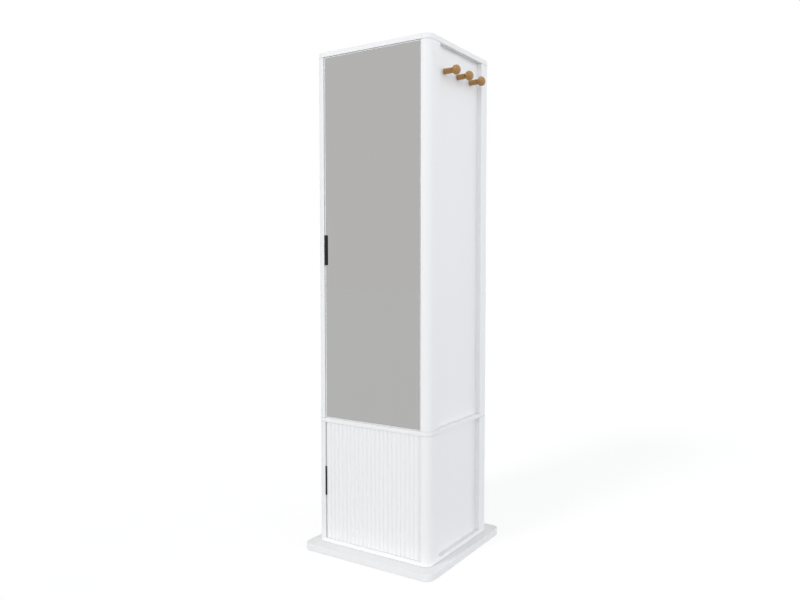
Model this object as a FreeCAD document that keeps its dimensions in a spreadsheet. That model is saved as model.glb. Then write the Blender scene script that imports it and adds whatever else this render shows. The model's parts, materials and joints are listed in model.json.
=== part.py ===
"""Revolving wardrobe cabinet: a two-compartment column that turns on a square base.

Frame: millimetres, +Z up, origin on the floor under the centre of the base.
The doors are on the front, which faces -Y, and the coat pegs are on both sides.
Every driving size is in the sheet "Sizes"; all other sizes and places are worked out from it.
"""
import FreeCAD
import Part
import Sketcher

import math
import os
from types import SimpleNamespace

DRIVING_SIZES = [
    # column
    ("overall_height", 1760.0, "floor to the top of the top board"),
    ("column_width", 465.0, "column, left side to right side"),
    ("column_depth", 432.0, "column, front to back"),
    ("corner_radius", 30.0, "round upright corners of the column"),
    ("board_thickness", 15.0, "divider and bottom boards and the shelves"),
    ("top_board_thickness", 17.0, "top board"),
    ("board_edge_radius", 0.8, "softened rims of the boards"),
    ("divider_height", 462.0, "floor to the underside of the divider board"),
    ("post_front_width", 34.0, "corner post seen from the front"),
    ("post_side_width", 67.0, "corner post seen from the side"),
    ("panel_recess", 18.0, "side and back panels, set back from the posts"),
    ("panel_thickness", 12.0, "side and back panels"),
    # base and swivel
    ("base_width", 526.0, "base plate, left to right"),
    ("base_depth", 526.0, "base plate, front to back"),
    ("base_thickness", 23.5, "base plate"),
    ("base_corner_radius", 30.0, "upright corners of the base plate"),
    ("base_edge_radius", 1.5, "softened rims of the base plate"),
    ("glide_radius", 15.0, "felt glides under the base"),
    ("glide_thickness", 3.0, "felt glides"),
    ("glide_sink", 1.5, "how far a glide is let into the base plate"),
    ("glide_inset", 45.0, "glide centre to the edges of the base plate"),
    ("swivel_gap", 1.0, "base plate to the column's bottom board"),
    ("race_outer_radius", 150.0, "swivel races"),
    ("race_inner_radius", 110.0, "swivel races"),
    ("race_thickness", 3.5, "swivel races"),
    ("race_gap", 3.0, "lower race to upper race"),
    ("race_pocket_clearance", 2.0, "lower race to the wall of its pocket"),
    ("race_screw_circle_radius", 122.0, "circle of the race screws"),
    ("ball_circle_radius", 138.0, "circle of the ball centres"),
    ("ball_radius", 3.0, "swivel balls"),
    ("ball_clearance", 0.05, "ball to its groove"),
    ("cage_thickness", 1.2, "ring that spaces the balls"),
    ("cage_half_width", 6.0, "ball circle to either rim of the ball cage"),
    ("cage_clearance", 0.3, "ball to its hole in the cage"),
    ("king_bolt_radius", 6.0, "king bolt that keeps the column on its base"),
    ("king_head_flats", 19.0, "across the flats of the king bolt's head and nut"),
    ("king_head_height", 7.5, "head of the king bolt"),
    ("king_head_room", 30.0, "diameter of the counterbore for the head"),
    ("king_head_sink", 9.0, "depth of the counterbore for the head"),
    ("king_nut_height", 10.0, "lock nut"),
    ("king_thread_end", 3.0, "thread that shows above the lock nut"),
    ("washer_radius", 15.0, "washer under the lock nut"),
    ("washer_thickness", 2.0, "washer under the lock nut"),
    ("bush_wall", 2.5, "flanged bush round the king bolt"),
    ("bush_flange_radius", 14.0, "flanged bush round the king bolt"),
    ("bush_flange_thickness", 1.5, "flanges of all the bushes"),
    ("running_clearance", 0.05, "pins and bolts in their bushes"),
    ("axial_clearance", 0.3, "end play of the turning pieces"),
    # fasteners
    ("fastener_clearance", 0.1, "screws, dowels and bushes in their holes"),
    ("race_screw_radius", 1.75, "race screws"),
    ("race_screw_length", 12.0, "race screws, under the head"),
    ("race_screw_head_radius", 3.5, "race screws"),
    ("race_screw_head_height", 1.4, "race screws"),
    ("dowel_radius", 4.0, "dowels between the boards and the posts"),
    ("dowel_board_depth", 10.0, "dowel in the top or bottom board"),
    ("dowel_post_depth", 20.0, "dowel in the end of a post"),
    # shelves and rail
    ("shelf_side_clearance", 1.0, "shelf to the posts"),
    ("shelf_back_clearance", 1.0, "shelf to the back panel"),
    ("shelf_front_setback", 40.0, "front of the column to the front of a shelf"),
    ("lower_shelf_height", 245.0, "floor to the underside of the lower shelf"),
    ("middle_shelf_height", 790.0, "floor to the underside of the middle shelf"),
    ("hat_shelf_drop", 265.0, "top board to the underside of the hat shelf"),
    ("pin_radius", 2.5, "shelf pins"),
    ("pin_inset", 52.0, "front or back of the column to a shelf pin"),
    ("pin_post_depth", 10.0, "shelf pin in the post"),
    ("pin_reach", 9.0, "shelf pin out of the post"),
    ("pin_collar_radius", 4.0, "collar of a shelf pin"),
    ("pin_collar_thickness", 1.0, "collar of a shelf pin"),
    ("rail_radius", 9.5, "hanging rail"),
    ("rail_wall", 1.5, "hanging rail"),
    ("rail_drop", 50.0, "underside of the hat shelf to the rail's axis"),
    ("rail_end_play", 0.5, "rail to the bottom of its socket"),
    ("socket_radius", 14.0, "rail sockets"),
    ("socket_length", 12.0, "rail sockets"),
    ("socket_floor", 3.0, "rail sockets"),
    ("socket_screw_radius", 2.0, "screws of the rail sockets"),
    ("socket_screw_length", 11.0, "screws of the rail sockets, under the head"),
    ("socket_screw_head_radius", 4.0, "screws of the rail sockets"),
    ("socket_screw_head_height", 1.5, "screws of the rail sockets"),
    # pegs
    ("peg_drop", 96.0, "top of the column to the pegs' axes"),
    ("peg_pitch", 92.0, "peg to peg"),
    ("peg_shaft_radius", 8.75, "pegs"),
    ("peg_knob_radius", 15.25, "knob at the end of a peg"),
    ("peg_knob_half_length", 11.8, "knob, along the peg's axis"),
    ("peg_knob_offset", 48.0, "panel to the middle of the knob"),
    ("peg_screw_radius", 2.5, "screws that hold the pegs"),
    ("peg_screw_grip", 25.0, "length of the screw in the peg"),
    ("peg_screw_head_radius", 4.5, "screws that hold the pegs"),
    ("peg_screw_head_height", 2.0, "screws that hold the pegs"),
    # doors
    ("door_setback", 3.0, "front of the posts to the front of the doors"),
    ("door_back_depth", 21.0, "front of the posts to the back of the doors"),
    ("door_handle_gap", 2.5, "post to the handle edge of a door"),
    ("upper_door_hinge_gap", 3.0, "post to the hinge edge of the upper door"),
    ("lower_door_hinge_gap", 2.0, "post to the hinge edge of the lower door"),
    ("upper_door_end_gap", 1.0, "boards to the top and bottom of the upper door"),
    ("lower_door_end_gap", 0.6, "boards to the top and bottom of the lower door"),
    ("mirror_thickness", 3.0, "mirror glass, let into the door flush with its face"),
    ("mirror_lip", 2.5, "top, bottom and handle edges of the door to the glass"),
    ("mirror_hinge_lip", 0.8, "hinge edge of the door to the glass"),
    ("mirror_arris", 0.6, "ground front edge of the glass"),
    ("slat_pitch", 17.37, "groove to groove on the lower door"),
    ("first_slat_width", 19.3, "handle edge of the lower door to the first groove"),
    ("groove_half_width", 7.0, "groove between two slats, middle to shoulder"),
    ("groove_depth", 2.2, "groove between two slats"),
    ("slat_round", 16.0, "radius of the slats' round shoulders"),
    ("slat_end_round", 5.0, "upright front edges of the lower door"),
    ("pivot_edge_distance", 14.0, "hinge edge of the lower door to the pivot axis"),
    ("pivot_front_distance", 11.0, "front of the posts to the pivot axis"),
    ("pivot_pin_radius", 3.0, "pivot pins"),
    ("pivot_pin_door_depth", 14.0, "pivot pin in the door"),
    ("pivot_pin_reach", 6.5, "pivot pin out of the door"),
    ("pivot_bush_radius", 5.0, "pivot bushes"),
    ("pivot_bush_depth", 6.5, "pivot bush in its board"),
    ("pivot_flange_radius", 7.0, "flange of a pivot bush"),
    ("pivot_flange_proud", 0.3, "flange of a pivot bush, out of its board"),
    # handles
    ("handle_length", 105.0, "both handles"),
    ("handle_screw_spacing", 70.0, "screws of a handle"),
    ("handle_leg_thickness", 1.5, "leg of a handle on the door's edge"),
    ("handle_leg_depth", 16.0, "leg of a handle, front to back"),
    ("handle_screw_inset", 9.5, "front of a door to the handle screws"),
    ("upper_handle_height", 1073.5, "floor to the middle of the upper handle"),
    ("upper_handle_reach", 8.5, "door edge to the right side of the upper handle"),
    ("upper_handle_depth", 5.0, "upper handle, out from the mirror"),
    ("upper_handle_lip_start", 0.5, "door edge to the free edge of the grip lip"),
    ("upper_handle_lip", 1.8, "thickness of the grip lip"),
    ("upper_handle_wall", 2.5, "wall between the lip and the leg"),
    ("lower_handle_height", 249.5, "floor to the middle of the lower handle"),
    ("lower_handle_width", 4.0, "lower handle bar"),
    ("lower_handle_overhang", 1.5, "lower handle bar, past the door's edge"),
    ("lower_handle_depth", 4.0, "lower handle bar, out from the slats"),
    ("handle_screw_radius", 1.5, "handle screws"),
    ("handle_screw_length", 18.0, "handle screws, under the head"),
    ("handle_screw_head_radius", 3.0, "handle screws"),
    ("handle_screw_head_height", 0.9, "handle screws"),
    # magnetic catches
    ("catch_width", 40.0, "magnetic catches and their strike plates"),
    ("catch_depth", 13.0, "magnetic catches"),
    ("catch_height", 12.0, "magnetic catches"),
    ("catch_inset", 40.0, "door's handle edge to the catch"),
    ("catch_clearance", 0.3, "strike plate to the catch"),
    ("strike_thickness", 1.0, "strike plates"),
    ("strike_drop", 0.5, "top of a door to its strike plate"),
    ("strike_height", 11.0, "strike plates"),
    ("catch_screw_spacing", 28.0, "screws of a catch"),
    ("catch_screw_radius", 1.5, "screws of a catch"),
    ("catch_screw_length", 9.0, "screw of a catch in its board"),
]
RACE_SCREWS = 6
BALLS = 24
PEGS_PER_SIDE = ("front", "middle", "rear")

doc = FreeCAD.newDocument("revolving_cabinet")
pieces = []


# ---------------------------------------------------------------- sizes and expressions

class Size:
    """A length that knows its number and the expression that works it out from the sheet."""

    def __init__(self, number, text):
        self.number = number
        self.text = text

    def __add__(self, other):
        other = as_size(other)
        return Size(self.number + other.number, f"({self.text} + {other.text})")

    def __sub__(self, other):
        other = as_size(other)
        return Size(self.number - other.number, f"({self.text} - {other.text})")

    def __mul__(self, other):
        other = as_size(other)
        return Size(self.number * other.number, f"({self.text} * {other.text})")

    def __truediv__(self, other):
        other = as_size(other)
        return Size(self.number / other.number, f"({self.text} / {other.text})")

    def __neg__(self):
        return Size(-self.number, f"(0 - {self.text})")

    def __radd__(self, other):
        return as_size(other) + self

    def __rsub__(self, other):
        return as_size(other) - self

    def __rmul__(self, other):
        return as_size(other) * self


def as_size(value):
    return value if isinstance(value, Size) else Size(value, repr(value))


def smaller(first, second):
    first, second = as_size(first), as_size(second)
    return Size(min(first.number, second.number), f"min({first.text}; {second.text})")


def whole(value):
    return Size(math.floor(value.number), f"floor({value.text})")


def make_sheet():
    """The sheet of driving sizes, and a Size for each of them."""
    sheet = doc.addObject("Spreadsheet::Sheet", "Sizes")
    sizes = {}
    for row, (alias, number, meaning) in enumerate(DRIVING_SIZES, start=1):
        sheet.set(f"A{row}", meaning)
        sheet.set(f"B{row}", str(number))
        sheet.setAlias(f"B{row}", alias)
        sizes[alias] = Size(number, f"Sizes.{alias}")
    doc.recompute()
    return SimpleNamespace(**sizes)


def bind(feature, **properties):
    for name, value in properties.items():
        feature.setExpression(name, as_size(value).text)


def place(feature, x, y, z):
    for axis, value in (("x", x), ("y", y), ("z", z)):
        feature.setExpression(f"Placement.Base.{axis}", as_size(value).text)


# ---------------------------------------------------------------- building blocks

TURN_TO = {
    "+X": FreeCAD.Rotation(FreeCAD.Vector(0, 1, 0), 90),
    "-X": FreeCAD.Rotation(FreeCAD.Vector(0, 1, 0), -90),
    "+Z": FreeCAD.Rotation(),
    "-Z": FreeCAD.Rotation(FreeCAD.Vector(1, 0, 0), 180),
    "+Y": FreeCAD.Rotation(FreeCAD.Vector(1, 0, 0), -90),
}
AXIS_OF = {
    "+X": (1, 0, 0),
    "-X": (-1, 0, 0),
    "+Y": (0, 1, 0),
    "+Z": (0, 0, 1),
    "-Z": (0, 0, -1),
}


def piece(label, feature):
    """Name a finished sub-part."""
    feature.Label = label
    pieces.append(feature)
    return feature


def block(name, low, high):
    """A box between two corners."""
    box = doc.addObject("Part::Box", name)
    bind(box, Length=high[0] - low[0], Width=high[1] - low[1], Height=high[2] - low[2])
    place(box, *low)
    return box


def rod(name, radius, length, start, direction="+Z"):
    """A cylinder that starts at a point and runs along an axis."""
    cylinder = doc.addObject("Part::Cylinder", name)
    bind(cylinder, Radius=radius, Height=length)
    cylinder.Placement = FreeCAD.Placement(FreeCAD.Vector(), TURN_TO[direction])
    place(cylinder, *start)
    return cylinder


def hexagon(name, flats, height, start):
    """A hexagonal prism, as a bolt's head or a nut is."""
    prism = doc.addObject("Part::Prism", name)
    prism.Polygon = 6
    bind(prism, Circumradius=flats / math.sqrt(3), Height=height)
    place(prism, *start)
    return prism


def fused(name, features):
    fusion = doc.addObject("Part::MultiFuse", name)
    fusion.Shapes = features
    return fusion


def group(name, features):
    compound = doc.addObject("Part::Compound", name)
    compound.Links = features
    return compound


def cut(name, blank, tools):
    """A blank less its tools, which don't touch each other."""
    result = doc.addObject("Part::Cut", name)
    result.Base = blank
    result.Tool = tools[0] if len(tools) == 1 else group(name + "_tools", tools)
    return result


def shifted(start, direction, distance):
    return [at + step * distance for at, step in zip(start, AXIS_OF[direction])]


def screw(name, seat, direction, shank, head, grow=0.0):
    """A screw with a flat cylindrical head: seat is the point under the head, on the axis.

    shank and head are (radius, length). grow makes the hole that the screw goes into.
    """
    head_start = shifted(seat, direction, 0 - (head[1] + grow))
    return fused(name, [
        rod(name + "_head", head[0] + grow, head[1] + grow, head_start, direction),
        rod(name + "_shank", shank[0] + grow, shank[1] + grow, seat, direction),
    ])


def circle_points(radius, count, first_angle=0.0):
    """Points evenly spaced on a circle about the swivel axis."""
    for index in range(count):
        angle = math.radians(first_angle + index * 360.0 / count)
        yield radius * round(math.cos(angle), 9), radius * round(math.sin(angle), 9)


def origin_feature(body, role):
    return next(feature for feature in body.Origin.OriginFeatures if feature.Role == role)


def sketch_on(body, name):
    """An empty sketch on the body's own XY plane."""
    sketch = body.newObject("Sketcher::SketchObject", name)
    sketch.AttachmentSupport = [(origin_feature(body, "XY_Plane"), "")]
    sketch.MapMode = "FlatFace"
    return sketch


def outline(sketch, points, rounds=None):
    """A closed outline through the points, anticlockwise round its arcs.

    rounds gives the radius of each round run, by the number of the point that it starts at.
    """
    rounds = rounds or {}
    numbers = [FreeCAD.Vector(as_size(x).number, as_size(y).number, 0) for x, y in points]
    for index, start in enumerate(numbers):
        end = numbers[(index + 1) % len(numbers)]
        if index in rounds:
            sketch.addGeometry(arc_between(start, end, rounds[index].number), False)
        else:
            sketch.addGeometry(Part.LineSegment(start, end), False)
    for index, point in enumerate(points):
        following = (index + 1) % len(points)
        sketch.addConstraint(Sketcher.Constraint("Coincident", index, 2, following, 1))
        pin_start(sketch, index, point)
    for index, radius in rounds.items():
        constraint = sketch.addConstraint(Sketcher.Constraint("Radius", index, radius.number))
        sketch.renameConstraint(constraint, f"round{index}")
        sketch.setExpression(f"Constraints.round{index}", radius.text)


def pin_start(sketch, curve, point):
    """Hold the start of a curve at a point given by two sizes."""
    for axis, value in zip("XY", point):
        name = f"point{curve}_{axis}"
        constraint = Sketcher.Constraint(f"Distance{axis}", -1, 1, curve, 1, as_size(value).number)
        index = sketch.addConstraint(constraint)
        sketch.renameConstraint(index, name)
        sketch.setExpression(f"Constraints.{name}", as_size(value).text)


def arc_between(start, end, radius):
    """The short anticlockwise arc from start to end."""
    chord = end - start
    across = FreeCAD.Vector(-chord.y, chord.x, 0) / chord.Length
    rise = math.sqrt(radius ** 2 - (chord.Length / 2) ** 2)
    centre = (start + end) / 2 + across * rise
    angles = [math.atan2(point.y - centre.y, point.x - centre.x) for point in (start, end)]
    return Part.ArcOfCircle(Part.Circle(centre, FreeCAD.Vector(0, 0, 1), radius), *angles)


def rectangle(low, high):
    return [(low[0], low[1]), (high[0], low[1]), (high[0], high[1]), (low[0], high[1])]


def padded(name, points, height):
    """A body with one outline, padded upwards from its XY plane."""
    body = doc.addObject("PartDesign::Body", name)
    sketch = sketch_on(body, name + "_outline")
    outline(sketch, points)
    pad = body.newObject("PartDesign::Pad", name + "_pad")
    pad.Profile = sketch
    bind(pad, Length=height)
    sketch.Visibility = False
    doc.recompute()
    return body


def edge_names(feature, wanted):
    return [f"Edge{index}" for index, edge in enumerate(feature.Shape.Edges, start=1) if wanted(edge)]


def is_upright(edge):
    box = edge.BoundBox
    return box.ZLength > max(box.XLength, box.YLength)


def dress(body, kind, name, wanted, **sizes):
    """Round or bevel the edges of the body's last feature that are wanted."""
    last = body.Tip
    feature = body.newObject(kind, name)
    feature.Base = (last, edge_names(last, wanted))
    bind(feature, **sizes)
    body.Tip = feature
    doc.recompute()


def level_with(height):
    """True for an edge that lies flat at this height in the body's own frame."""
    def wanted(edge):
        box = edge.BoundBox
        return abs(box.ZMin - height.number) < 1e-4 and abs(box.ZMax - height.number) < 1e-4
    return wanted


def rounded_board(name, width, depth, thickness, corner, rim, bottom):
    """A flat board about the swivel axis, with round corners and softened rims."""
    half_x, half_y = width / 2, depth / 2
    body = padded(name, rectangle((-half_x, -half_y), (half_x, half_y)), thickness)
    dress(body, "PartDesign::Fillet", name + "_corners", is_upright, Radius=corner)
    dress(body, "PartDesign::Fillet", name + "_lower_rim", level_with(as_size(0)), Radius=rim)
    dress(body, "PartDesign::Fillet", name + "_upper_rim", level_with(thickness), Radius=rim)
    place(body, 0, 0, bottom)
    return body


# ---------------------------------------------------------------- places worked out from the sizes

s = make_sheet()

half_width = s.column_width / 2
half_depth = s.column_depth / 2
front = -half_depth
corner = smaller(s.corner_radius, s.post_front_width - 1.0)

base_bottom = s.glide_thickness - s.glide_sink
base_top = base_bottom + s.base_thickness
bottom_board_bottom = base_top + s.swivel_gap
bottom_board_top = bottom_board_bottom + s.board_thickness
divider_bottom = s.divider_height
divider_top = divider_bottom + s.board_thickness
top_board_bottom = s.overall_height - s.top_board_thickness

wall_inside = half_width - s.post_front_width
panel_outside = half_width - s.panel_recess
panel_inside = panel_outside - s.panel_thickness
back_panel_outside = half_depth - s.panel_recess
back_panel_inside = back_panel_outside - s.panel_thickness
post_reach = half_depth - s.post_side_width

swivel_height = s.race_thickness * 2 + s.race_gap
race_floor = bottom_board_bottom - swivel_height
lower_race_top = race_floor + s.race_thickness
upper_race_bottom = bottom_board_bottom - s.race_thickness
ball_height = lower_race_top + s.race_gap / 2

door_left = -half_width + s.post_front_width + s.door_handle_gap
upper_door_right = half_width - s.post_front_width - s.upper_door_hinge_gap
lower_door_right = half_width - s.post_front_width - s.lower_door_hinge_gap
door_front = front + s.door_setback
door_back = front + s.door_back_depth
lower_door_bottom = bottom_board_top + s.lower_door_end_gap
lower_door_top = divider_bottom - s.lower_door_end_gap
upper_door_bottom = divider_top + s.upper_door_end_gap
upper_door_top = top_board_bottom - s.upper_door_end_gap
mirror_low = (door_left + s.mirror_lip, door_front, upper_door_bottom + s.mirror_lip)
mirror_high = (upper_door_right - s.mirror_hinge_lip, door_front + s.mirror_thickness,
               upper_door_top - s.mirror_lip)
pivot_x = lower_door_right - s.pivot_edge_distance
pivot_y = front + s.pivot_front_distance

hat_shelf_bottom = top_board_bottom - s.hat_shelf_drop
rail_height = hat_shelf_bottom - s.rail_drop
peg_height = s.overall_height - s.peg_drop


# ---------------------------------------------------------------- base and swivel

race_screw_shank = (s.race_screw_radius, s.race_screw_length)
race_screw_head = (s.race_screw_head_radius, s.race_screw_head_height)
lower_screw_seat = lower_race_top - s.race_screw_head_height
upper_screw_seat = upper_race_bottom + s.race_screw_head_height
upper_screw_turn = 180.0 / RACE_SCREWS


def race_screws(name, seat, direction, first_angle, grow=0.0):
    points = circle_points(s.race_screw_circle_radius, RACE_SCREWS, first_angle)
    return [
        screw(f"{name}_{index}", (x, y, seat), direction, race_screw_shank, race_screw_head, grow)
        for index, (x, y) in enumerate(points)
    ]


def glides(name, radius, start, height):
    """One disc near each corner of the base."""
    across = s.base_width / 2 - s.glide_inset
    along = s.base_depth / 2 - s.glide_inset
    return [
        rod(f"{name}_{x_sign}_{y_sign}".replace("-", "m"), radius, height,
            (across * x_sign, along * y_sign, start))
        for x_sign in (-1, 1) for y_sign in (-1, 1)
    ]


def make_base():
    blank = rounded_board("base_blank", s.base_width, s.base_depth, s.base_thickness,
                          s.base_corner_radius, s.base_edge_radius, base_bottom)
    pocket_radius = s.race_outer_radius + s.race_pocket_clearance
    pocket = rod("race_pocket", pocket_radius, s.base_thickness, (0, 0, race_floor))
    holes = race_screws("base_pilot", lower_screw_seat, "-Z", 0.0, s.fastener_clearance)
    bolt_hole = rod("king_bolt_hole", s.king_bolt_radius + s.fastener_clearance, race_floor, (0, 0, 0))
    head_room = rod("king_head_room_hole", s.king_head_room / 2, s.king_head_sink + base_bottom, (0, 0, 0))
    sockets = glides("glide_socket", s.glide_radius + s.fastener_clearance, 0, s.glide_thickness)
    removed = fused("base_removed", [pocket, bolt_hole, head_room] + holes)
    piece("base_plate", cut("base_plate_cut", blank, [removed] + sockets))
    piece("base_glides", group("base_glides_group", glides("glide", s.glide_radius, 0, s.glide_thickness)))


def race(label, bottom, seat, direction, first_angle):
    """A flat ring with a ball groove and sunk screw holes."""
    name = label + "_blank"
    ring = rod(name, s.race_outer_radius, s.race_thickness, (0, 0, bottom))
    bore = rod(name + "_bore", s.race_inner_radius, s.race_thickness, (0, 0, bottom))
    groove = doc.addObject("Part::Torus", name + "_groove")
    bind(groove, Radius1=s.ball_circle_radius, Radius2=s.ball_radius + s.ball_clearance)
    place(groove, 0, 0, ball_height)
    holes = race_screws(name + "_hole", seat, direction, first_angle, s.fastener_clearance)
    piece(label, cut(label + "_cut", ring, [bore, groove] + holes))


def make_swivel():
    race("swivel_lower_race", race_floor, lower_screw_seat, "-Z", 0.0)
    race("swivel_upper_race", upper_race_bottom, upper_screw_seat, "+Z", upper_screw_turn)
    lower = race_screws("lower_race_screw", lower_screw_seat, "-Z", 0.0)
    upper = race_screws("upper_race_screw", upper_screw_seat, "+Z", upper_screw_turn)
    piece("lower_race_screws", group("lower_race_screws_group", lower))
    piece("upper_race_screws", group("upper_race_screws_group", upper))
    make_balls()


def make_balls():
    balls, holes = [], []
    cage_bottom = ball_height - s.cage_thickness / 2
    for index, (x, y) in enumerate(circle_points(s.ball_circle_radius, BALLS)):
        ball = doc.addObject("Part::Sphere", f"ball_{index}")
        bind(ball, Radius=s.ball_radius)
        place(ball, x, y, ball_height)
        balls.append(ball)
        holes.append(rod(f"cage_hole_{index}", s.ball_radius + s.cage_clearance, s.cage_thickness,
                         (x, y, cage_bottom)))
    piece("swivel_balls", group("swivel_balls_group", balls))
    ring = rod("cage_ring", s.ball_circle_radius + s.cage_half_width, s.cage_thickness, (0, 0, cage_bottom))
    bore = rod("cage_bore", s.ball_circle_radius - s.cage_half_width, s.cage_thickness, (0, 0, cage_bottom))
    piece("swivel_ball_cage", cut("swivel_ball_cage_cut", ring, [bore] + holes))


def make_king_bolt():
    """The bolt on the swivel axis that keeps the column from lifting off its base."""
    seat = base_bottom + s.king_head_sink
    flange_top = bottom_board_top + s.bush_flange_thickness
    washer_bottom = flange_top + s.axial_clearance
    nut_bottom = washer_bottom + s.washer_thickness
    bolt_top = nut_bottom + s.king_nut_height + s.king_thread_end
    head = hexagon("king_head", s.king_head_flats, s.king_head_height, (0, 0, seat - s.king_head_height))
    shank = rod("king_shank", s.king_bolt_radius, bolt_top - seat, (0, 0, seat))
    piece("swivel_king_bolt", fused("swivel_king_bolt_fused", [head, shank]))

    loose_radius = s.king_bolt_radius + s.running_clearance
    washer = rod("washer_blank", s.washer_radius, s.washer_thickness, (0, 0, washer_bottom))
    washer_hole = rod("washer_hole", loose_radius, s.washer_thickness, (0, 0, washer_bottom))
    piece("king_bolt_washer", cut("king_bolt_washer_cut", washer, [washer_hole]))
    nut = hexagon("nut_blank", s.king_head_flats, s.king_nut_height, (0, 0, nut_bottom))
    nut_hole = rod("nut_hole", loose_radius, s.king_nut_height, (0, 0, nut_bottom))
    piece("king_bolt_nut", cut("king_bolt_nut_cut", nut, [nut_hole]))

    sleeve = rod("king_bush_sleeve", s.king_bolt_radius + s.bush_wall, s.board_thickness,
                 (0, 0, bottom_board_bottom))
    flange = rod("king_bush_flange", s.bush_flange_radius, s.bush_flange_thickness,
                 (0, 0, bottom_board_top))
    bore = rod("king_bush_bore", loose_radius, flange_top - bottom_board_bottom,
               (0, 0, bottom_board_bottom))
    blank = fused("king_bush_blank", [sleeve, flange])
    piece("king_bolt_bush", cut("king_bolt_bush_cut", blank, [bore]))


# ---------------------------------------------------------------- carcass

SIDES = {"left": -1, "right": 1}
ENDS = {"front": -1, "rear": 1}


def dowel(name, x_sign, y_sign, start, length, grow=0.0):
    """A dowel on the axis of a corner post, or the hole for it."""
    x = (half_width - s.post_front_width / 2) * x_sign
    y = (half_depth - s.post_side_width / 2) * y_sign
    return rod(name, s.dowel_radius + grow, length + grow * 2, (x, y, start - grow))


def dowels_at(name, start, length, grow=0.0):
    return [
        dowel(f"{name}_{side}_{end}", SIDES[side], ENDS[end], start, length, grow)
        for side in SIDES for end in ENDS
    ]


dowel_length = s.dowel_board_depth + s.dowel_post_depth
bottom_dowel_start = bottom_board_top - s.dowel_board_depth
divider_dowel_start = divider_bottom - s.dowel_post_depth
divider_dowel_length = s.board_thickness + s.dowel_post_depth * 2
top_dowel_start = top_board_bottom - s.dowel_post_depth


def make_dowels():
    dowels = dowels_at("bottom_dowel", bottom_dowel_start, dowel_length)
    dowels += dowels_at("divider_dowel", divider_dowel_start, divider_dowel_length)
    dowels += dowels_at("top_dowel", top_dowel_start, dowel_length)
    piece("frame_dowels", group("frame_dowels_group", dowels))


def bush_hole(name, board_face, direction):
    """The stepped hole for a flanged pivot bush: it starts at the board's face."""
    grow = s.fastener_clearance
    start = (pivot_x, pivot_y, board_face)
    sunk = s.bush_flange_thickness - s.pivot_flange_proud
    return fused(name, [
        rod(name + "_bore", s.pivot_bush_radius + grow, s.pivot_bush_depth + grow, start, direction),
        rod(name + "_seat", s.pivot_flange_radius + grow, sunk + grow, start, direction),
    ])


def column_board(label, thickness, bottom, holes):
    blank = rounded_board(label + "_blank", s.column_width, s.column_depth, thickness,
                          corner, s.board_edge_radius, bottom)
    return piece(label, cut(label + "_cut", blank, holes))


def make_boards():
    grow = s.fastener_clearance
    king_hole = rod("king_bush_hole", s.king_bolt_radius + s.bush_wall + grow, s.board_thickness,
                    (0, 0, bottom_board_bottom))
    pilots = race_screws("bottom_pilot", upper_screw_seat, "+Z", upper_screw_turn, grow)
    column_board("bottom_board", s.board_thickness, bottom_board_bottom,
                 [king_hole, bush_hole("bottom_pivot_hole", bottom_board_top, "-Z")] + pilots
                 + dowels_at("bottom_dowel_hole", bottom_dowel_start, dowel_length, grow))
    column_board("divider_board", s.board_thickness, divider_bottom,
                 [bush_hole("divider_lower_pivot_hole", divider_bottom, "+Z"),
                  bush_hole("divider_upper_pivot_hole", divider_top, "-Z")]
                 + catch_screws("divider_catch_hole", divider_bottom, grow)
                 + dowels_at("divider_dowel_hole", divider_dowel_start, divider_dowel_length, grow))
    column_board("top_board", s.top_board_thickness, top_board_bottom,
                 [bush_hole("top_pivot_hole", top_board_bottom, "+Z")]
                 + catch_screws("top_catch_hole", top_board_bottom, grow)
                 + dowels_at("top_dowel_hole", top_dowel_start, dowel_length, grow))


def shelf_pin(name, side, end, shelf_bottom, grow=0.0):
    """A collared pin in the inner face of a post, or its hole, with the shelf resting on it."""
    x_sign = SIDES[side]
    outward = "+X" if x_sign > 0 else "-X"
    y = (half_depth - s.pin_inset) * ENDS[end]
    z = shelf_bottom - s.pin_radius
    reach = s.pin_reach if not grow else 0.0
    start = ((wall_inside - reach) * x_sign, y, z)
    shank = rod(name + "_shank", s.pin_radius + grow, s.pin_post_depth + reach + grow, start, outward)
    if grow:
        return shank
    collar_start = ((wall_inside - s.pin_collar_thickness) * x_sign, y, z)
    collar = rod(name + "_collar", s.pin_collar_radius, s.pin_collar_thickness, collar_start, outward)
    return fused(name, [shank, collar])


SHELVES = {
    "lower_shelf": s.lower_shelf_height,
    "middle_shelf": s.middle_shelf_height,
    "hat_shelf": hat_shelf_bottom,
}
SHELVES_BY_SECTION = {"lower": ["lower_shelf"], "upper": ["middle_shelf", "hat_shelf"]}


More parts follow.
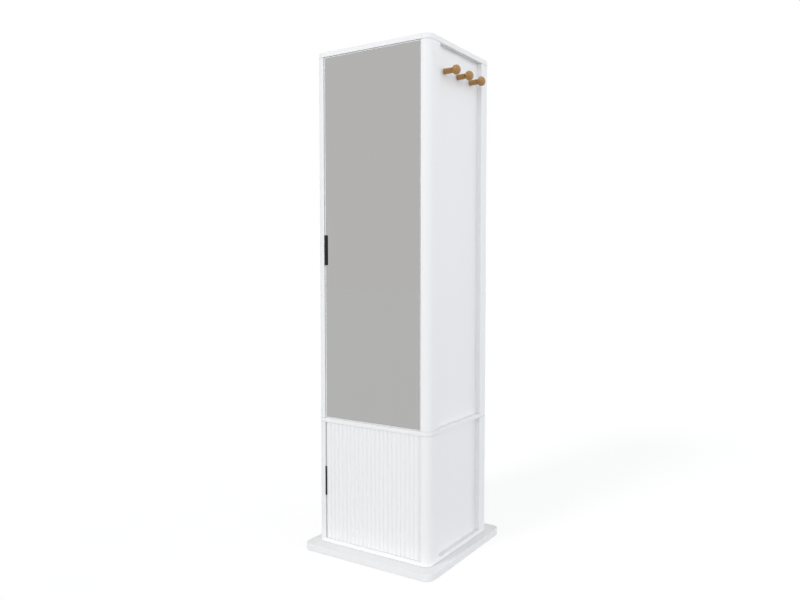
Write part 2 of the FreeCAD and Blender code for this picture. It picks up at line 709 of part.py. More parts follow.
def make_post(section, side, end, bottom, top):
    """A corner post: round outside, with a dowel hole in each end and its shelf pins' holes."""
    label = f"{section}_{end}_{side}_post"
    x_sign, y_sign = SIDES[side], ENDS[end]
    xs = sorted((wall_inside * x_sign, half_width * x_sign), key=lambda size: size.number)
    ys = sorted((post_reach * y_sign, half_depth * y_sign), key=lambda size: size.number)
    body = padded(label + "_blank", rectangle((xs[0], ys[0]), (xs[1], ys[1])), top - bottom)

    def is_outer_corner(edge):
        middle = edge.BoundBox.Center
        outside = middle.x * x_sign > half_width.number - 0.01
        return is_upright(edge) and outside and middle.y * y_sign > half_depth.number - 0.01

    dress(body, "PartDesign::Fillet", label + "_round", is_outer_corner, Radius=corner)
    place(body, 0, 0, bottom)
    grow = s.fastener_clearance
    if section == "lower":
        dowel_ends = ((bottom_dowel_start, dowel_length), (divider_dowel_start, divider_dowel_length))
    else:
        dowel_ends = ((divider_dowel_start, divider_dowel_length), (top_dowel_start, dowel_length))
    holes = [
        dowel(f"{label}_dowel_hole_{index}", x_sign, y_sign, start, length, grow)
        for index, (start, length) in enumerate(dowel_ends)
    ]
    holes += [
        shelf_pin(f"{label}_{shelf}_hole", side, end, SHELVES[shelf], grow)
        for shelf in SHELVES_BY_SECTION[section]
    ]
    piece(label, cut(label + "_cut", body, holes))


def make_posts():
    for section, bottom, top in (("lower", bottom_board_top, divider_bottom),
                                 ("upper", divider_top, top_board_bottom)):
        for side in SIDES:
            for end in ENDS:
                make_post(section, side, end, bottom, top)


def peg_rows():
    """The places of the pegs along the side, front to back."""
    middle = (len(PEGS_PER_SIDE) - 1) / 2
    return [(name, s.peg_pitch * (index - middle)) for index, name in enumerate(PEGS_PER_SIDE)]


def peg_screw(name, side, y, grow=0.0):
    """A screw from inside the cabinet, through the side panel and into the peg."""
    outward = "+X" if SIDES[side] > 0 else "-X"
    shank = (s.peg_screw_radius, s.panel_thickness + s.peg_screw_grip)
    head = (s.peg_screw_head_radius, s.peg_screw_head_height)
    return screw(name, (panel_inside * SIDES[side], y, peg_height), outward, shank, head, grow)


def socket_screw(name, side, grow=0.0):
    """A screw through the floor of a rail socket into the side panel."""
    outward = "+X" if SIDES[side] > 0 else "-X"
    shank = (s.socket_screw_radius, s.socket_screw_length)
    head = (s.socket_screw_head_radius, s.socket_screw_head_height)
    seat = (panel_inside - s.socket_floor) * SIDES[side]
    return screw(name, (seat, as_size(0), rail_height), outward, shank, head, grow)


def side_panel(label, side, bottom, top, holes):
    xs = sorted((panel_inside * SIDES[side], panel_outside * SIDES[side]), key=lambda size: size.number)
    low, high = (xs[0], -post_reach, bottom), (xs[1], post_reach, top)
    if not holes:
        return piece(label, block(label + "_block", low, high))
    return piece(label, cut(label + "_cut", block(label + "_blank", low, high), holes))


def make_panels():
    grow = s.fastener_clearance
    for side in SIDES:
        side_panel(f"lower_{side}_panel", side, bottom_board_top, divider_bottom, [])
        holes = [peg_screw(f"{side}_{name}_peg_panel_hole", side, y, grow) for name, y in peg_rows()]
        holes.append(socket_screw(f"{side}_socket_panel_hole", side, grow))
        side_panel(f"upper_{side}_panel", side, divider_top, top_board_bottom, holes)
    for section, bottom, top in (("lower", bottom_board_top, divider_bottom),
                                 ("upper", divider_top, top_board_bottom)):
        label = f"{section}_back_panel"
        piece(label, block(label + "_block", (-wall_inside, back_panel_inside, bottom),
                           (wall_inside, back_panel_outside, top)))


# ---------------------------------------------------------------- shelves and hanging rail

def make_shelves():
    half_shelf = wall_inside - s.shelf_side_clearance
    pins = []
    for label, bottom in SHELVES.items():
        low = (-half_shelf, front + s.shelf_front_setback, bottom)
        high = (half_shelf, back_panel_inside - s.shelf_back_clearance, bottom + s.board_thickness)
        piece(label, block(label + "_block", low, high))
        pins += [shelf_pin(f"{label}_{side}_{end}_pin", side, end, bottom) for side in SIDES for end in ENDS]
    piece("shelf_pins", group("shelf_pins_group", pins))


def make_rail():
    half_rail = panel_inside - s.socket_floor - s.rail_end_play
    centre = (as_size(0), rail_height)
    tube = rod("rail_blank", s.rail_radius, half_rail * 2, (-half_rail, *centre), "+X")
    bore = rod("rail_bore", s.rail_radius - s.rail_wall, half_rail * 2, (-half_rail, *centre), "+X")
    piece("hanging_rail", cut("hanging_rail_cut", tube, [bore]))
    screws = []
    for side, sign in SIDES.items():
        outward = "+X" if sign > 0 else "-X"
        cup = rod(f"{side}_socket_blank", s.socket_radius, s.socket_length,
                  ((panel_inside - s.socket_length) * sign, *centre), outward)
        seat = rod(f"{side}_socket_seat", s.rail_radius + s.fastener_clearance,
                   s.socket_length - s.socket_floor,
                   ((panel_inside - s.socket_length) * sign, *centre), outward)
        hole = rod(f"{side}_socket_hole", s.socket_screw_radius + s.fastener_clearance,
                   s.socket_floor, ((panel_inside - s.socket_floor) * sign, *centre), outward)
        removed = fused(f"{side}_socket_removed", [seat, hole])
        piece(f"{side}_rail_socket", cut(f"{side}_rail_socket_cut", cup, [removed]))
        screws.append(socket_screw(f"{side}_socket_screw", side))
    piece("rail_socket_screws", group("rail_socket_screws_group", screws))


# ---------------------------------------------------------------- pegs

def make_peg(side, name, y):
    """A turned peg: a straight shaft with a flattened round knob."""
    label = f"{side}_{name}_peg"
    sign = SIDES[side]
    outward = "+X" if sign > 0 else "-X"
    foot = (panel_outside * sign, y, peg_height)
    shaft = rod(label + "_shaft", s.peg_shaft_radius, s.peg_knob_offset, foot, outward)
    knob = doc.addObject("Part::Ellipsoid", label + "_knob")
    bind(knob, Radius1=s.peg_knob_half_length, Radius2=s.peg_knob_radius, Radius3=s.peg_knob_radius)
    knob.Placement = FreeCAD.Placement(FreeCAD.Vector(), TURN_TO[outward])
    place(knob, (panel_outside + s.peg_knob_offset) * sign, y, peg_height)
    pilot = rod(label + "_pilot", s.peg_screw_radius + s.fastener_clearance,
                s.peg_screw_grip + s.fastener_clearance, foot, outward)
    piece(label, cut(label + "_cut", fused(label + "_turned", [shaft, knob]), [pilot]))


def make_pegs():
    screws = []
    for side in SIDES:
        for name, y in peg_rows():
            make_peg(side, name, y)
            screws.append(peg_screw(f"{side}_{name}_peg_screw", side, y))
    piece("peg_screws", group("peg_screws_group", screws))


# ---------------------------------------------------------------- doors

def pivot_pins(label, bottom, top):
    """One pin in the lower edge of a door and one in its upper edge."""
    length = s.pivot_pin_door_depth + s.pivot_pin_reach
    return piece(label, group(label + "_group", [
        rod(label + "_lower", s.pivot_pin_radius, length, (pivot_x, pivot_y, bottom - s.pivot_pin_reach)),
        rod(label + "_upper", s.pivot_pin_radius, length,
            (pivot_x, pivot_y, top - s.pivot_pin_door_depth)),
    ]))


def pivot_pin_holes(name, bottom, top):
    grow = s.fastener_clearance
    radius, depth = s.pivot_pin_radius + grow, s.pivot_pin_door_depth + grow
    return [
        rod(name + "_lower_pin_hole", radius, depth, (pivot_x, pivot_y, bottom)),
        rod(name + "_upper_pin_hole", radius, depth, (pivot_x, pivot_y, top - depth)),
    ]


def pivot_bush(name, face, direction):
    """A flanged bush in a board: the flange stands a little out of the board's face."""
    start = shifted((pivot_x, pivot_y, face), direction, -s.pivot_flange_proud)
    length = s.pivot_flange_proud + s.pivot_bush_depth
    sleeve = rod(name + "_sleeve", s.pivot_bush_radius, length, start, direction)
    flange = rod(name + "_flange", s.pivot_flange_radius, s.bush_flange_thickness, start, direction)
    bore = rod(name + "_bore", s.pivot_pin_radius + s.running_clearance, length, start, direction)
    return cut(name, fused(name + "_blank", [sleeve, flange]), [bore])


def make_pivot_bushes():
    piece("pivot_bushes", group("pivot_bushes_group", [
        pivot_bush("bottom_pivot_bush", bottom_board_top, "-Z"),
        pivot_bush("divider_lower_pivot_bush", divider_bottom, "+Z"),
        pivot_bush("divider_upper_pivot_bush", divider_top, "-Z"),
        pivot_bush("top_pivot_bush", top_board_bottom, "+Z"),
    ]))


def handle_screws(name, middle, grow=0.0):
    """Two screws through the handle's leg into the edge of the door."""
    seat_x = door_left - s.handle_leg_thickness + s.handle_screw_head_height
    seat_y = door_front + s.handle_screw_inset
    shank = (s.handle_screw_radius, s.handle_screw_length)
    head = (s.handle_screw_head_radius, s.handle_screw_head_height)
    return [
        screw(f"{name}_{index}", (seat_x, seat_y, middle + s.handle_screw_spacing / 2 * sign),
              "+X", shank, head, grow)
        for index, sign in enumerate((-1, 1))
    ]


def make_upper_door():
    """A plain board with a shallow pocket in its face for the mirror."""
    low = (door_left, door_front, upper_door_bottom)
    high = (upper_door_right, door_back, upper_door_top)
    holes = [block("mirror_pocket", mirror_low, mirror_high)]
    holes += pivot_pin_holes("upper_door", upper_door_bottom, upper_door_top)
    holes += handle_screws("upper_door_pilot", s.upper_handle_height, s.fastener_clearance)
    piece("upper_door_board", cut("upper_door_board_cut", block("upper_door_blank", low, high), holes))
    pivot_pins("upper_door_pivot_pins", upper_door_bottom, upper_door_top)
    make_mirror()
    make_upper_handle()


def make_mirror():
    """The glass lies in its own frame with its height along Y, so that its front rim is level."""
    width = mirror_high[0] - mirror_low[0]
    height = mirror_high[2] - mirror_low[2]
    zero = as_size(0)
    body = padded("mirror_body", rectangle((zero, zero), (width, height)), s.mirror_thickness)
    dress(body, "PartDesign::Chamfer", "mirror_arris", level_with(s.mirror_thickness), Size=s.mirror_arris)
    body.Placement = FreeCAD.Placement(FreeCAD.Vector(), FreeCAD.Rotation(FreeCAD.Vector(1, 0, 0), 90))
    place(body, mirror_low[0], mirror_high[1], mirror_low[2])
    piece("mirror_glass", body)


def make_upper_handle():
    """An edge pull: a leg on the door's edge and a grip lip over the edge of the mirror."""
    leg, lip, wall = s.handle_leg_thickness, s.upper_handle_lip, s.upper_handle_wall
    reach, depth = s.upper_handle_reach, s.upper_handle_depth
    zero = as_size(0)
    body = padded("upper_handle_body", [
        (-leg, -leg),
        (reach - wall, -leg),
        (reach - wall, lip - depth),
        (s.upper_handle_lip_start, lip - depth),
        (s.upper_handle_lip_start, -depth),
        (reach, -depth),
        (reach, zero),
        (zero, zero),
        (zero, s.handle_leg_depth),
        (-leg, s.handle_leg_depth),
    ], s.handle_length)
    place(body, door_left, door_front, s.upper_handle_height - s.handle_length / 2)
    holes = handle_screws("upper_handle_hole", s.upper_handle_height, s.fastener_clearance)
    piece("upper_handle", cut("upper_handle_cut", body, holes))
    screws = handle_screws("upper_handle_screw", s.upper_handle_height)
    piece("upper_handle_screws", group("upper_handle_screws_group", screws))


def make_lower_door():
    """A reeded door: convex slats side by side, with a sharp groove between each two."""
    width = lower_door_right - door_left
    thickness = door_back - door_front
    height = lower_door_top - lower_door_bottom
    zero = as_size(0)
    body = padded("reeded_blank", rectangle((zero, zero), (width, thickness)), height)

    def is_front_edge(edge):
        return is_upright(edge) and abs(edge.BoundBox.Center.y) < 0.01

    dress(body, "PartDesign::Fillet", "slat_ends", is_front_edge, Radius=s.slat_end_round)
    slab = body.Tip
    sketch = sketch_on(body, "groove_outline")
    left, right = s.first_slat_width - s.groove_half_width, s.first_slat_width + s.groove_half_width
    outline(sketch, [
        (left, zero),
        (s.first_slat_width, s.groove_depth),
        (right, zero),
        (right, -s.groove_depth),
        (left, -s.groove_depth),
    ], {0: s.slat_round, 1: s.slat_round})
    groove = body.newObject("PartDesign::Pocket", "groove")
    groove.Profile = sketch
    groove.Type = "ThroughAll"
    groove.Reversed = True
    doc.recompute()
    if groove.Shape.Volume > slab.Shape.Volume - 1.0:
        raise ValueError("the groove cuts nothing")
    count = whole((width - s.first_slat_width) / s.slat_pitch) + 1
    pattern = body.newObject("PartDesign::LinearPattern", "grooves")
    pattern.Originals = [groove]
    pattern.Direction = (origin_feature(body, "X_Axis"), [""])
    bind(pattern, Length=s.slat_pitch * (count - 1), Occurrences=count)
    body.Tip = pattern
    place(body, door_left, door_front, lower_door_bottom)
    holes = pivot_pin_holes("lower_door", lower_door_bottom, lower_door_top)
    holes += handle_screws("lower_door_pilot", s.lower_handle_height, s.fastener_clearance)
    piece("lower_door_panel", cut("lower_door_panel_cut", body, holes))
    pivot_pins("lower_door_pivot_pins", lower_door_bottom, lower_door_top)
    make_lower_handle()


def make_lower_handle():
    """A slim bar with round ends over the door's edge, on a leg like the upper handle's."""
    radius = s.lower_handle_width / 2
    bar_left = door_left - s.lower_handle_overhang
    bar_right = bar_left + s.lower_handle_width
    bar_front = door_front - s.lower_handle_depth
    middle = s.lower_handle_height
    low_centre = middle - s.handle_length / 2 + radius
    high_centre = middle + s.handle_length / 2 - radius
    parts = [
        block("lower_bar", (bar_left, bar_front, low_centre), (bar_right, door_front, high_centre)),
        block("lower_leg", (door_left - s.handle_leg_thickness, bar_front, low_centre),
              (door_left, door_front + s.handle_leg_depth, high_centre)),
    ]
    parts += [
        rod(f"lower_bar_{end}_end", radius, s.lower_handle_depth, (bar_left + radius, bar_front, z), "+Y")
        for end, z in (("low", low_centre), ("high", high_centre))
    ]
    holes = handle_screws("lower_handle_hole", middle, s.fastener_clearance)
    piece("lower_handle", cut("lower_handle_cut", fused("lower_handle_blank", parts), holes))
    screws = handle_screws("lower_handle_screw", middle)
    piece("lower_handle_screws", group("lower_handle_screws_group", screws))


# ---------------------------------------------------------------- magnetic catches

def catch_screws(name, board_face, grow=0.0):
    """Two screws up through a catch into the board above it."""
    middle = door_left + s.catch_inset + s.catch_width / 2
    y = door_back + s.strike_thickness + s.catch_clearance + s.catch_depth / 2
    return [
        rod(f"{name}_{index}", s.catch_screw_radius + grow, s.catch_height + s.catch_screw_length + grow,
            (middle + s.catch_screw_spacing / 2 * sign, y, board_face - s.catch_height))
        for index, sign in enumerate((-1, 1))
    ]


def make_catch(section, board_face, door_top):
    left = door_left + s.catch_inset
    right = left + s.catch_width
    catch_front = door_back + s.strike_thickness + s.catch_clearance
    blank = block(f"{section}_catch_blank", (left, catch_front, board_face - s.catch_height),
                  (right, catch_front + s.catch_depth, board_face))
    holes = catch_screws(f"{section}_catch_hole", board_face, s.fastener_clearance)
    piece(f"{section}_magnet_catch", cut(f"{section}_magnet_catch_cut", blank, holes))
    plate_top = door_top - s.strike_drop
    piece(f"{section}_strike_plate", block(f"{section}_strike_block",
                                           (left, door_back, plate_top - s.strike_height),
                                           (right, door_back + s.strike_thickness, plate_top)))
    return catch_screws(f"{section}_catch_screw", board_face)


def make_catches():
    screws = make_catch("upper", top_board_bottom, upper_door_top)
    screws += make_catch("lower", divider_bottom, lower_door_top)
    piece("catch_screws", group("catch_screws_group", screws))


# ---------------------------------------------------------------- check and export

def check(feature):
    if "Invalid" in feature.State or "Error" in feature.State:
        raise ValueError(f"{feature.Label} failed: {feature.State}")


def export():
    os.makedirs("parts", exist_ok=True)
    for feature in doc.Objects:
        check(feature)
    for feature in pieces:
        shape = feature.Shape
        if shape.isNull() or not shape.isValid() or not shape.Solids:
            raise ValueError(f"{feature.Label} has no valid solid")
        shape.exportStep(f"parts/{feature.Label}.step")
        print(f"{feature.Label}: {len(shape.Solids)} solid(s), {shape.Volume / 1000:.1f} cm3")


make_base()
make_swivel()
make_king_bolt()
make_boards()
make_dowels()
make_posts()
make_panels()
make_shelves()
make_rail()
make_pegs()
make_pivot_bushes()
make_upper_door()
make_lower_door()
make_catches()
doc.recompute()
export()
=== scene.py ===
"""Looks of the revolving wardrobe cabinet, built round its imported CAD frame.

Blender works in metres, +Z up, with the origin on the floor under the middle of the base plate,
and the doors face -Y. The sizes of the pieces are written in millimetres.
"""

import json
import math

import bmesh
import bpy
from mathutils import Matrix, Vector


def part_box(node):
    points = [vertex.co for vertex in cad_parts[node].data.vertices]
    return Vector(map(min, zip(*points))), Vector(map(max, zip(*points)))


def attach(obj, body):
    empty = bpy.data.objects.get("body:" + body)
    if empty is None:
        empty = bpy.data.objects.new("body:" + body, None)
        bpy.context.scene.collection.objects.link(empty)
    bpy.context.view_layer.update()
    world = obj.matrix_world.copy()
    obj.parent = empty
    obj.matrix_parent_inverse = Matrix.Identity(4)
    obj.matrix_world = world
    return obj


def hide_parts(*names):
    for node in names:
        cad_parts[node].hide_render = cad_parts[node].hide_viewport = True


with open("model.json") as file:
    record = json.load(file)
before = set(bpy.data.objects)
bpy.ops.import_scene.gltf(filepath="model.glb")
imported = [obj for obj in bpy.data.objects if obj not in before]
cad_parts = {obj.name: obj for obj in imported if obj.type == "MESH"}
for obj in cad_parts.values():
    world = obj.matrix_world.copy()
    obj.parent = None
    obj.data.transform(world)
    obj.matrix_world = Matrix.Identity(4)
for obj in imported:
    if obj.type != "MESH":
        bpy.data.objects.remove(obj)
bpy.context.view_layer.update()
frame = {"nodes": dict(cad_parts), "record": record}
nodes = frame["nodes"]

MM = 0.001
UP = (0, 0, 1)


# ---------------------------------------------------------------- node graphs

class Graph:
    """A node tree that is written as nested calls; each call gives an output socket."""

    def __init__(self, tree):
        self.tree = tree
        tree.nodes.clear()

    def put(self, socket, value):
        if isinstance(value, bpy.types.NodeSocket):
            self.tree.links.new(value, socket)
        else:
            socket.default_value = value

    def node(self, kind, inputs=None, **settings):
        made = self.tree.nodes.new("ShaderNode" + kind)
        for name, value in settings.items():
            setattr(made, name, value)
        for name, value in (inputs or {}).items():
            self.put(made.inputs[name], value)
        return made

    def place(self):
        """Where a point is in the piece's own frame, which is the row frame at rest."""
        return self.node("TexCoord").outputs["Object"]

    def stretch(self, scale):
        """The place, scaled along each axis: a low scale draws a texture out that way."""
        return self.node("Mapping", {"Vector": self.place(), "Scale": scale}).outputs["Vector"]

    def noise(self, scale, detail=2.0, roughness=0.5, vector=None, distortion=0.0):
        made = self.node("TexNoise", {
            "Vector": vector or self.place(), "Scale": scale, "Detail": detail,
            "Roughness": roughness, "Distortion": distortion,
        })
        return made.outputs["Fac"]

    def math(self, operation, *values):
        made = self.node("Math", operation=operation)
        for socket, value in zip(made.inputs, values):
            self.put(socket, value)
        return made.outputs[0]

    def between(self, value, low, high, to_low=0.0, to_high=1.0):
        """A value from low to high, moved to lie from to_low to to_high."""
        made = self.node("MapRange", {
            "Value": value, "From Min": low, "From Max": high, "To Min": to_low, "To Max": to_high,
        })
        return made.outputs["Result"]

    def ramp(self, value, stops):
        made = self.node("ValToRGB", {"Fac": value})
        band = made.color_ramp
        while len(band.elements) < len(stops):
            band.elements.new(0.5)
        for element, (position, colour) in zip(band.elements, stops):
            element.position = position
            element.color = (*colour, 1.0)
        return made.outputs["Color"]

    def mix(self, factor, first, second):
        """A colour from first, at factor 0, to second, at factor 1."""
        made = self.node("Mix", data_type="RGBA")
        self.put(made.inputs["Factor"], factor)
        for name, value in (("A", first), ("B", second)):
            socket = next(s for s in made.inputs if s.name == name and s.type == "RGBA")
            self.put(socket, value if isinstance(value, bpy.types.NodeSocket) else (*value, 1.0))
        return next(s for s in made.outputs if s.type == "RGBA")

    def attribute(self, name):
        return self.node("Attribute", attribute_name=name).outputs["Fac"]

    def parts(self, vector=None):
        """The X, Y and Z of a vector."""
        return self.node("SeparateXYZ", {"Vector": vector or self.place()}).outputs

    def bump(self, height, distance, strength):
        inputs = {"Height": height, "Distance": distance, "Strength": strength}
        return self.node("Bump", inputs).outputs["Normal"]

    def finish(self, shader, target):
        output = self.tree.nodes.new("ShaderNodeOutput" + target)
        self.tree.links.new(shader, output.inputs["Surface"])


def material(name, paint):
    """A material whose surface is a Principled shader with the inputs that paint(graph) gives."""
    made = bpy.data.materials.new(name)
    made.use_nodes = True
    graph = Graph(made.node_tree)
    shader = graph.node("BsdfPrincipled", paint(graph))
    graph.finish(shader.outputs["BSDF"], "Material")
    return made


# ---------------------------------------------------------------- materials

EDGE = "eased"      # 1 on the faces that round an edge off, where a finish wears first
GAP_SHADE_FACES = "joint"     # 1 on faces inside a shadow gap: bare board, painted near black as painted shade


def white_lacquer(g):
    """Sprayed satin lacquer on board: an even white, a fine orange peel, rubbed at the edges, and
    painted shade: near-black bare board inside the shadow gaps.
    """
    drift = g.noise(2.3, 3.0)
    gloss = g.noise(21.0, 3.0)
    rubbed = g.math("MULTIPLY", g.attribute(EDGE), g.between(g.noise(55.0, 3.0), 0.42, 0.62))
    white = g.mix(drift, (0.866, 0.867, 0.872), (0.884, 0.884, 0.884))
    worn = g.mix(rubbed, white, (0.855, 0.848, 0.835))
    # painted shade: the bare board in the shadow gaps is made near black, far darker than bare
    # board, to stand for the shade in the gap
    bare_board_and_gap_shade = (0.13, 0.12, 0.11)
    return {
        "Base Color": g.mix(g.attribute(GAP_SHADE_FACES), worn, bare_board_and_gap_shade),
        "Roughness": g.math("SUBTRACT", g.between(gloss, 0.3, 0.7, 0.38, 0.46),
                            g.math("MULTIPLY", rubbed, 0.08)),
        "Normal": g.bump(g.noise(620.0, 1.0), 0.00002, 0.2),
        "Specular IOR Level": 0.45,
    }


def mirror(g):
    """Silvered float glass: a clean reflection, faint wiping marks, and ground edges."""
    smears = g.noise(9.0, 4.0, 0.6, vector=g.stretch((1.0, 1.0, 0.35)), distortion=0.8)
    facing = g.parts(g.node("TexCoord").outputs["Normal"])["Y"]
    ground = g.math("LESS_THAN", g.math("ABSOLUTE", facing), 0.9)
    silver = g.mix(smears, (0.440, 0.437, 0.431), (0.450, 0.446, 0.440))
    ground_glass = (0.66, 0.70, 0.69)
    return {
        "Base Color": g.mix(ground, silver, ground_glass),
        "Metallic": 1.0,
        "Roughness": g.math("ADD", g.between(smears, 0.35, 0.75, 0.012, 0.04),
                            g.math("MULTIPLY", ground, 0.25)),
    }


def wood(light, dark, pore, along, rough, coat):
    """Turned wood: growth rings, fibres and short open pores that run along one axis."""
    def paint(g):
        fibre_scale = tuple(0.035 if axis == along else 1.0 for axis in "XYZ")
        ring_scale = tuple(0.12 if axis == along else 1.0 for axis in "XYZ")
        rings = g.node("TexWave", {
            "Vector": g.stretch(ring_scale), "Scale": 95.0, "Distortion": 3.2, "Detail": 2.0,
            "Detail Scale": 1.6,
        }, wave_type="BANDS", bands_direction="Y" if along == "Z" else "Z", wave_profile="SAW")
        fibres = g.noise(1100.0, 3.0, 0.6, vector=g.stretch(fibre_scale))
        pores = g.between(g.noise(2100.0, 1.0, 0.4, vector=g.stretch(fibre_scale)), 0.60, 0.70)
        mottle = g.noise(70.0, 2.0)
        tone = g.math("ADD", g.math("MULTIPLY", rings.outputs["Fac"], 0.40),
                      g.math("ADD", g.math("MULTIPLY", fibres, 0.40),
                             g.math("MULTIPLY", mottle, 0.20)))
        grain = g.mix(g.between(tone, 0.25, 0.75), light, dark)
        relief = g.math("SUBTRACT", fibres, g.math("MULTIPLY", pores, 0.9))
        return {
            "Base Color": g.mix(g.math("MULTIPLY", pores, 0.55), grain, pore),
            "Roughness": g.between(fibres, 0.3, 0.7, rough - 0.06, rough + 0.08),
            "Normal": g.bump(relief, 0.00006, 0.45),
            "Coat Weight": coat,
            "Coat Roughness": 0.22,
        }
    return paint


def black_metal(g):
    """Black powder coat: a fine pebbled skin, thinner and glossier on the edges."""
    pebbles = g.node("TexVoronoi", {"Vector": g.place(), "Scale": 2400.0}).outputs["Distance"]
    thin = g.math("MULTIPLY", g.attribute(EDGE), g.between(g.noise(140.0, 2.0), 0.4, 0.65))
    coat = g.mix(g.noise(60.0, 3.0), (0.008, 0.008, 0.009), (0.013, 0.013, 0.014))
    return {
        "Base Color": g.mix(thin, coat, (0.030, 0.029, 0.028)),
        "Roughness": g.math("SUBTRACT", g.between(g.noise(900.0, 2.0), 0.3, 0.7, 0.46, 0.58),
                            g.math("MULTIPLY", thin, 0.14)),
        "Normal": g.bump(pebbles, 0.00004, 0.5),
        "Specular IOR Level": 0.3,
    }


def turned_aluminium(g):
    """Aluminium faced on a lathe: fine circles round the swivel axis."""
    at = g.parts()
    radius = g.math("SQRT", g.math("ADD", g.math("MULTIPLY", at["X"], at["X"]),
                                   g.math("MULTIPLY", at["Y"], at["Y"])))
    circles = g.noise(5200.0, 2.0, 0.7, vector=g.node("CombineXYZ", {"X": radius}).outputs[0])
    return {
        "Base Color": g.mix(g.noise(30.0, 3.0), (0.70, 0.71, 0.72), (0.78, 0.785, 0.79)),
        "Metallic": 1.0,
        "Roughness": g.between(circles, 0.3, 0.7, 0.22, 0.40),
        "Normal": g.bump(circles, 0.00003, 0.4),
    }


def polished(colour, smooth, dull):
    """Bright metal with a few handling marks and hairline scratches."""
    def paint(g):
        marks = g.noise(45.0, 4.0, 0.6)
        hairlines = g.noise(1400.0, 2.0, 0.6, vector=g.stretch((0.03, 1.0, 1.0)))
        darker = tuple(c * 0.92 for c in colour)
        return {
            "Base Color": g.mix(marks, darker, colour),
            "Metallic": 1.0,
            "Roughness": g.between(marks, 0.35, 0.7, smooth, dull),
            "Normal": g.bump(hairlines, 0.00001, 0.15),
        }
    return paint


def zinc(g):
    """Zinc plating: a cool mottled bloom, fine crystals, and rubbed edges."""
    bloom = g.noise(160.0, 4.0, 0.65)
    crystals = g.node("TexVoronoi", {"Vector": g.place(), "Scale": 1500.0}).outputs["Color"]
    crystal = g.node("SeparateColor", {"Color": crystals}).outputs[0]
    plating = g.mix(bloom, (0.60, 0.61, 0.60), (0.70, 0.715, 0.73))
    return {
        "Base Color": g.mix(g.attribute(EDGE), plating, (0.76, 0.76, 0.75)),
        "Metallic": 1.0,
        "Roughness": g.between(g.math("ADD", bloom, g.math("MULTIPLY", crystal, 0.25)),
                               0.35, 0.95, 0.24, 0.42),
        "Normal": g.bump(crystal, 0.00001, 0.2),
    }


def moulded(colour, rough, grain, through):
    """Moulded plastic: a spark-eroded skin with flow marks, letting a little light in."""
    def paint(g):
        flow = g.noise(60.0, 2.0, vector=g.stretch((1.0, 1.0, 0.3)), distortion=1.2)
        skin = g.noise(grain, 2.0, 0.6)
        darker = tuple(c * 0.93 for c in colour)
        return {
            "Base Color": g.mix(flow, darker, colour),
            "Roughness": g.between(skin, 0.3, 0.7, rough - 0.06, rough + 0.08),
            "Normal": g.bump(skin, 0.00002, 0.35),
            "Subsurface Weight": through,
            "Subsurface Scale": 0.002,
        }
    return paint


def felt(g):
    """Pressed felt: matted fibres of mixed greys with a soft nap."""
    mat = g.noise(900.0, 4.0, 0.75, distortion=1.5)
    long_fibres = g.noise(2600.0, 3.0, 0.8, vector=g.stretch((0.25, 1.0, 1.0)), distortion=2.0)
    tone = g.math("MULTIPLY", g.math("ADD", mat, long_fibres), 0.5)
    return {
        "Base Color": g.ramp(tone, ((0.3, (0.060, 0.058, 0.056)), (0.5, (0.105, 0.102, 0.098)),
                                    (0.72, (0.19, 0.185, 0.175)))),
        "Roughness": g.between(mat, 0.3, 0.7, 0.88, 0.98),
        "Normal": g.bump(tone, 0.0004, 0.8),
        "Sheen Weight": 0.5,
        "Sheen Roughness": 0.4,
    }


FINISHES = {
    "white_lacquer": white_lacquer,
    "mirror": mirror,
    "oak": wood(light=(0.475, 0.244, 0.042), dark=(0.293, 0.137, 0.017),
                pore=(0.132, 0.058, 0.009), along="X", rough=0.30, coat=0.6),
    "beech": wood(light=(0.62, 0.44, 0.27), dark=(0.50, 0.33, 0.19),
                  pore=(0.36, 0.22, 0.12), along="Z", rough=0.62, coat=0.0),
    "black_metal": black_metal,
    "race_aluminium": turned_aluminium,
    "ball_steel": polished((0.62, 0.62, 0.63), smooth=0.05, dull=0.12),
    "nylon": moulded((0.80, 0.79, 0.74), rough=0.42, grain=700.0, through=0.15),
    "chrome": polished((0.80, 0.80, 0.81), smooth=0.05, dull=0.14),
    "felt": felt,
    "catch_plastic": moulded((0.76, 0.76, 0.74), rough=0.38, grain=1500.0, through=0.05),
    "zinc_steel": zinc,
}
materials = {name: material(name + "_finish", paint) for name, paint in FINISHES.items()}
slot_of = {name: node.material_slots[0].material.name for name, node in nodes.items()}
body_of = {name: body for body, members in frame["record"]["behaviour"]["bodies"].items()
           for name in members}
for node in nodes.values():
    for place in node.material_slots:
        place.material = materials[place.material.name]


# ---------------------------------------------------------------- pieces

SMOOTH_ANGLE = 40.0     # degrees; a sharper bend between two faces is shaded as an edge
NO_LENGTH = 0.001       # an edge shorter than this is left over from a bevel
SPLIT = 0.002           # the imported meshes' doubled vertices lie closer than this
FLAT_ANGLE = 0.2        # degrees; the triangles of a flat CAD face bend less than this
SHARP_ANGLE = 35.0      # degrees; a bend that is eased is sharper
BOARD_FACE = 100.0      # square millimetres; a board's edges lie between larger faces


def piece(name, shape, body, slot, replaced=(), smooth_angle=SMOOTH_ANGLE):
    """Turns a bmesh into a named piece that rides on a body and stands for some CAD nodes."""
    bmesh.ops.dissolve_degenerate(shape, dist=NO_LENGTH * MM, edges=shape.edges)
    bmesh.ops.recalc_face_normals(shape, faces=shape.faces)
    for face in shape.faces:
        face.smooth = True
    mesh = bpy.data.meshes.new(name)
    shape.to_mesh(mesh)
    shape.free()
    mesh.materials.append(materials[slot])
    mesh.set_sharp_from_angle(angle=math.radians(smooth_angle))
    made = bpy.data.objects.new(name, mesh)
    bpy.context.scene.collection.objects.link(made)
    weigh = made.modifiers.new("normals", "WEIGHTED_NORMAL")
    weigh.keep_sharp = True
    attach(made, body)
    if replaced:
        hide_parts(*replaced)


def corners_of(node_name):
    """The lowest and highest corners of a CAD node at rest, in millimetres."""
    return [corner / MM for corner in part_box(node_name)]


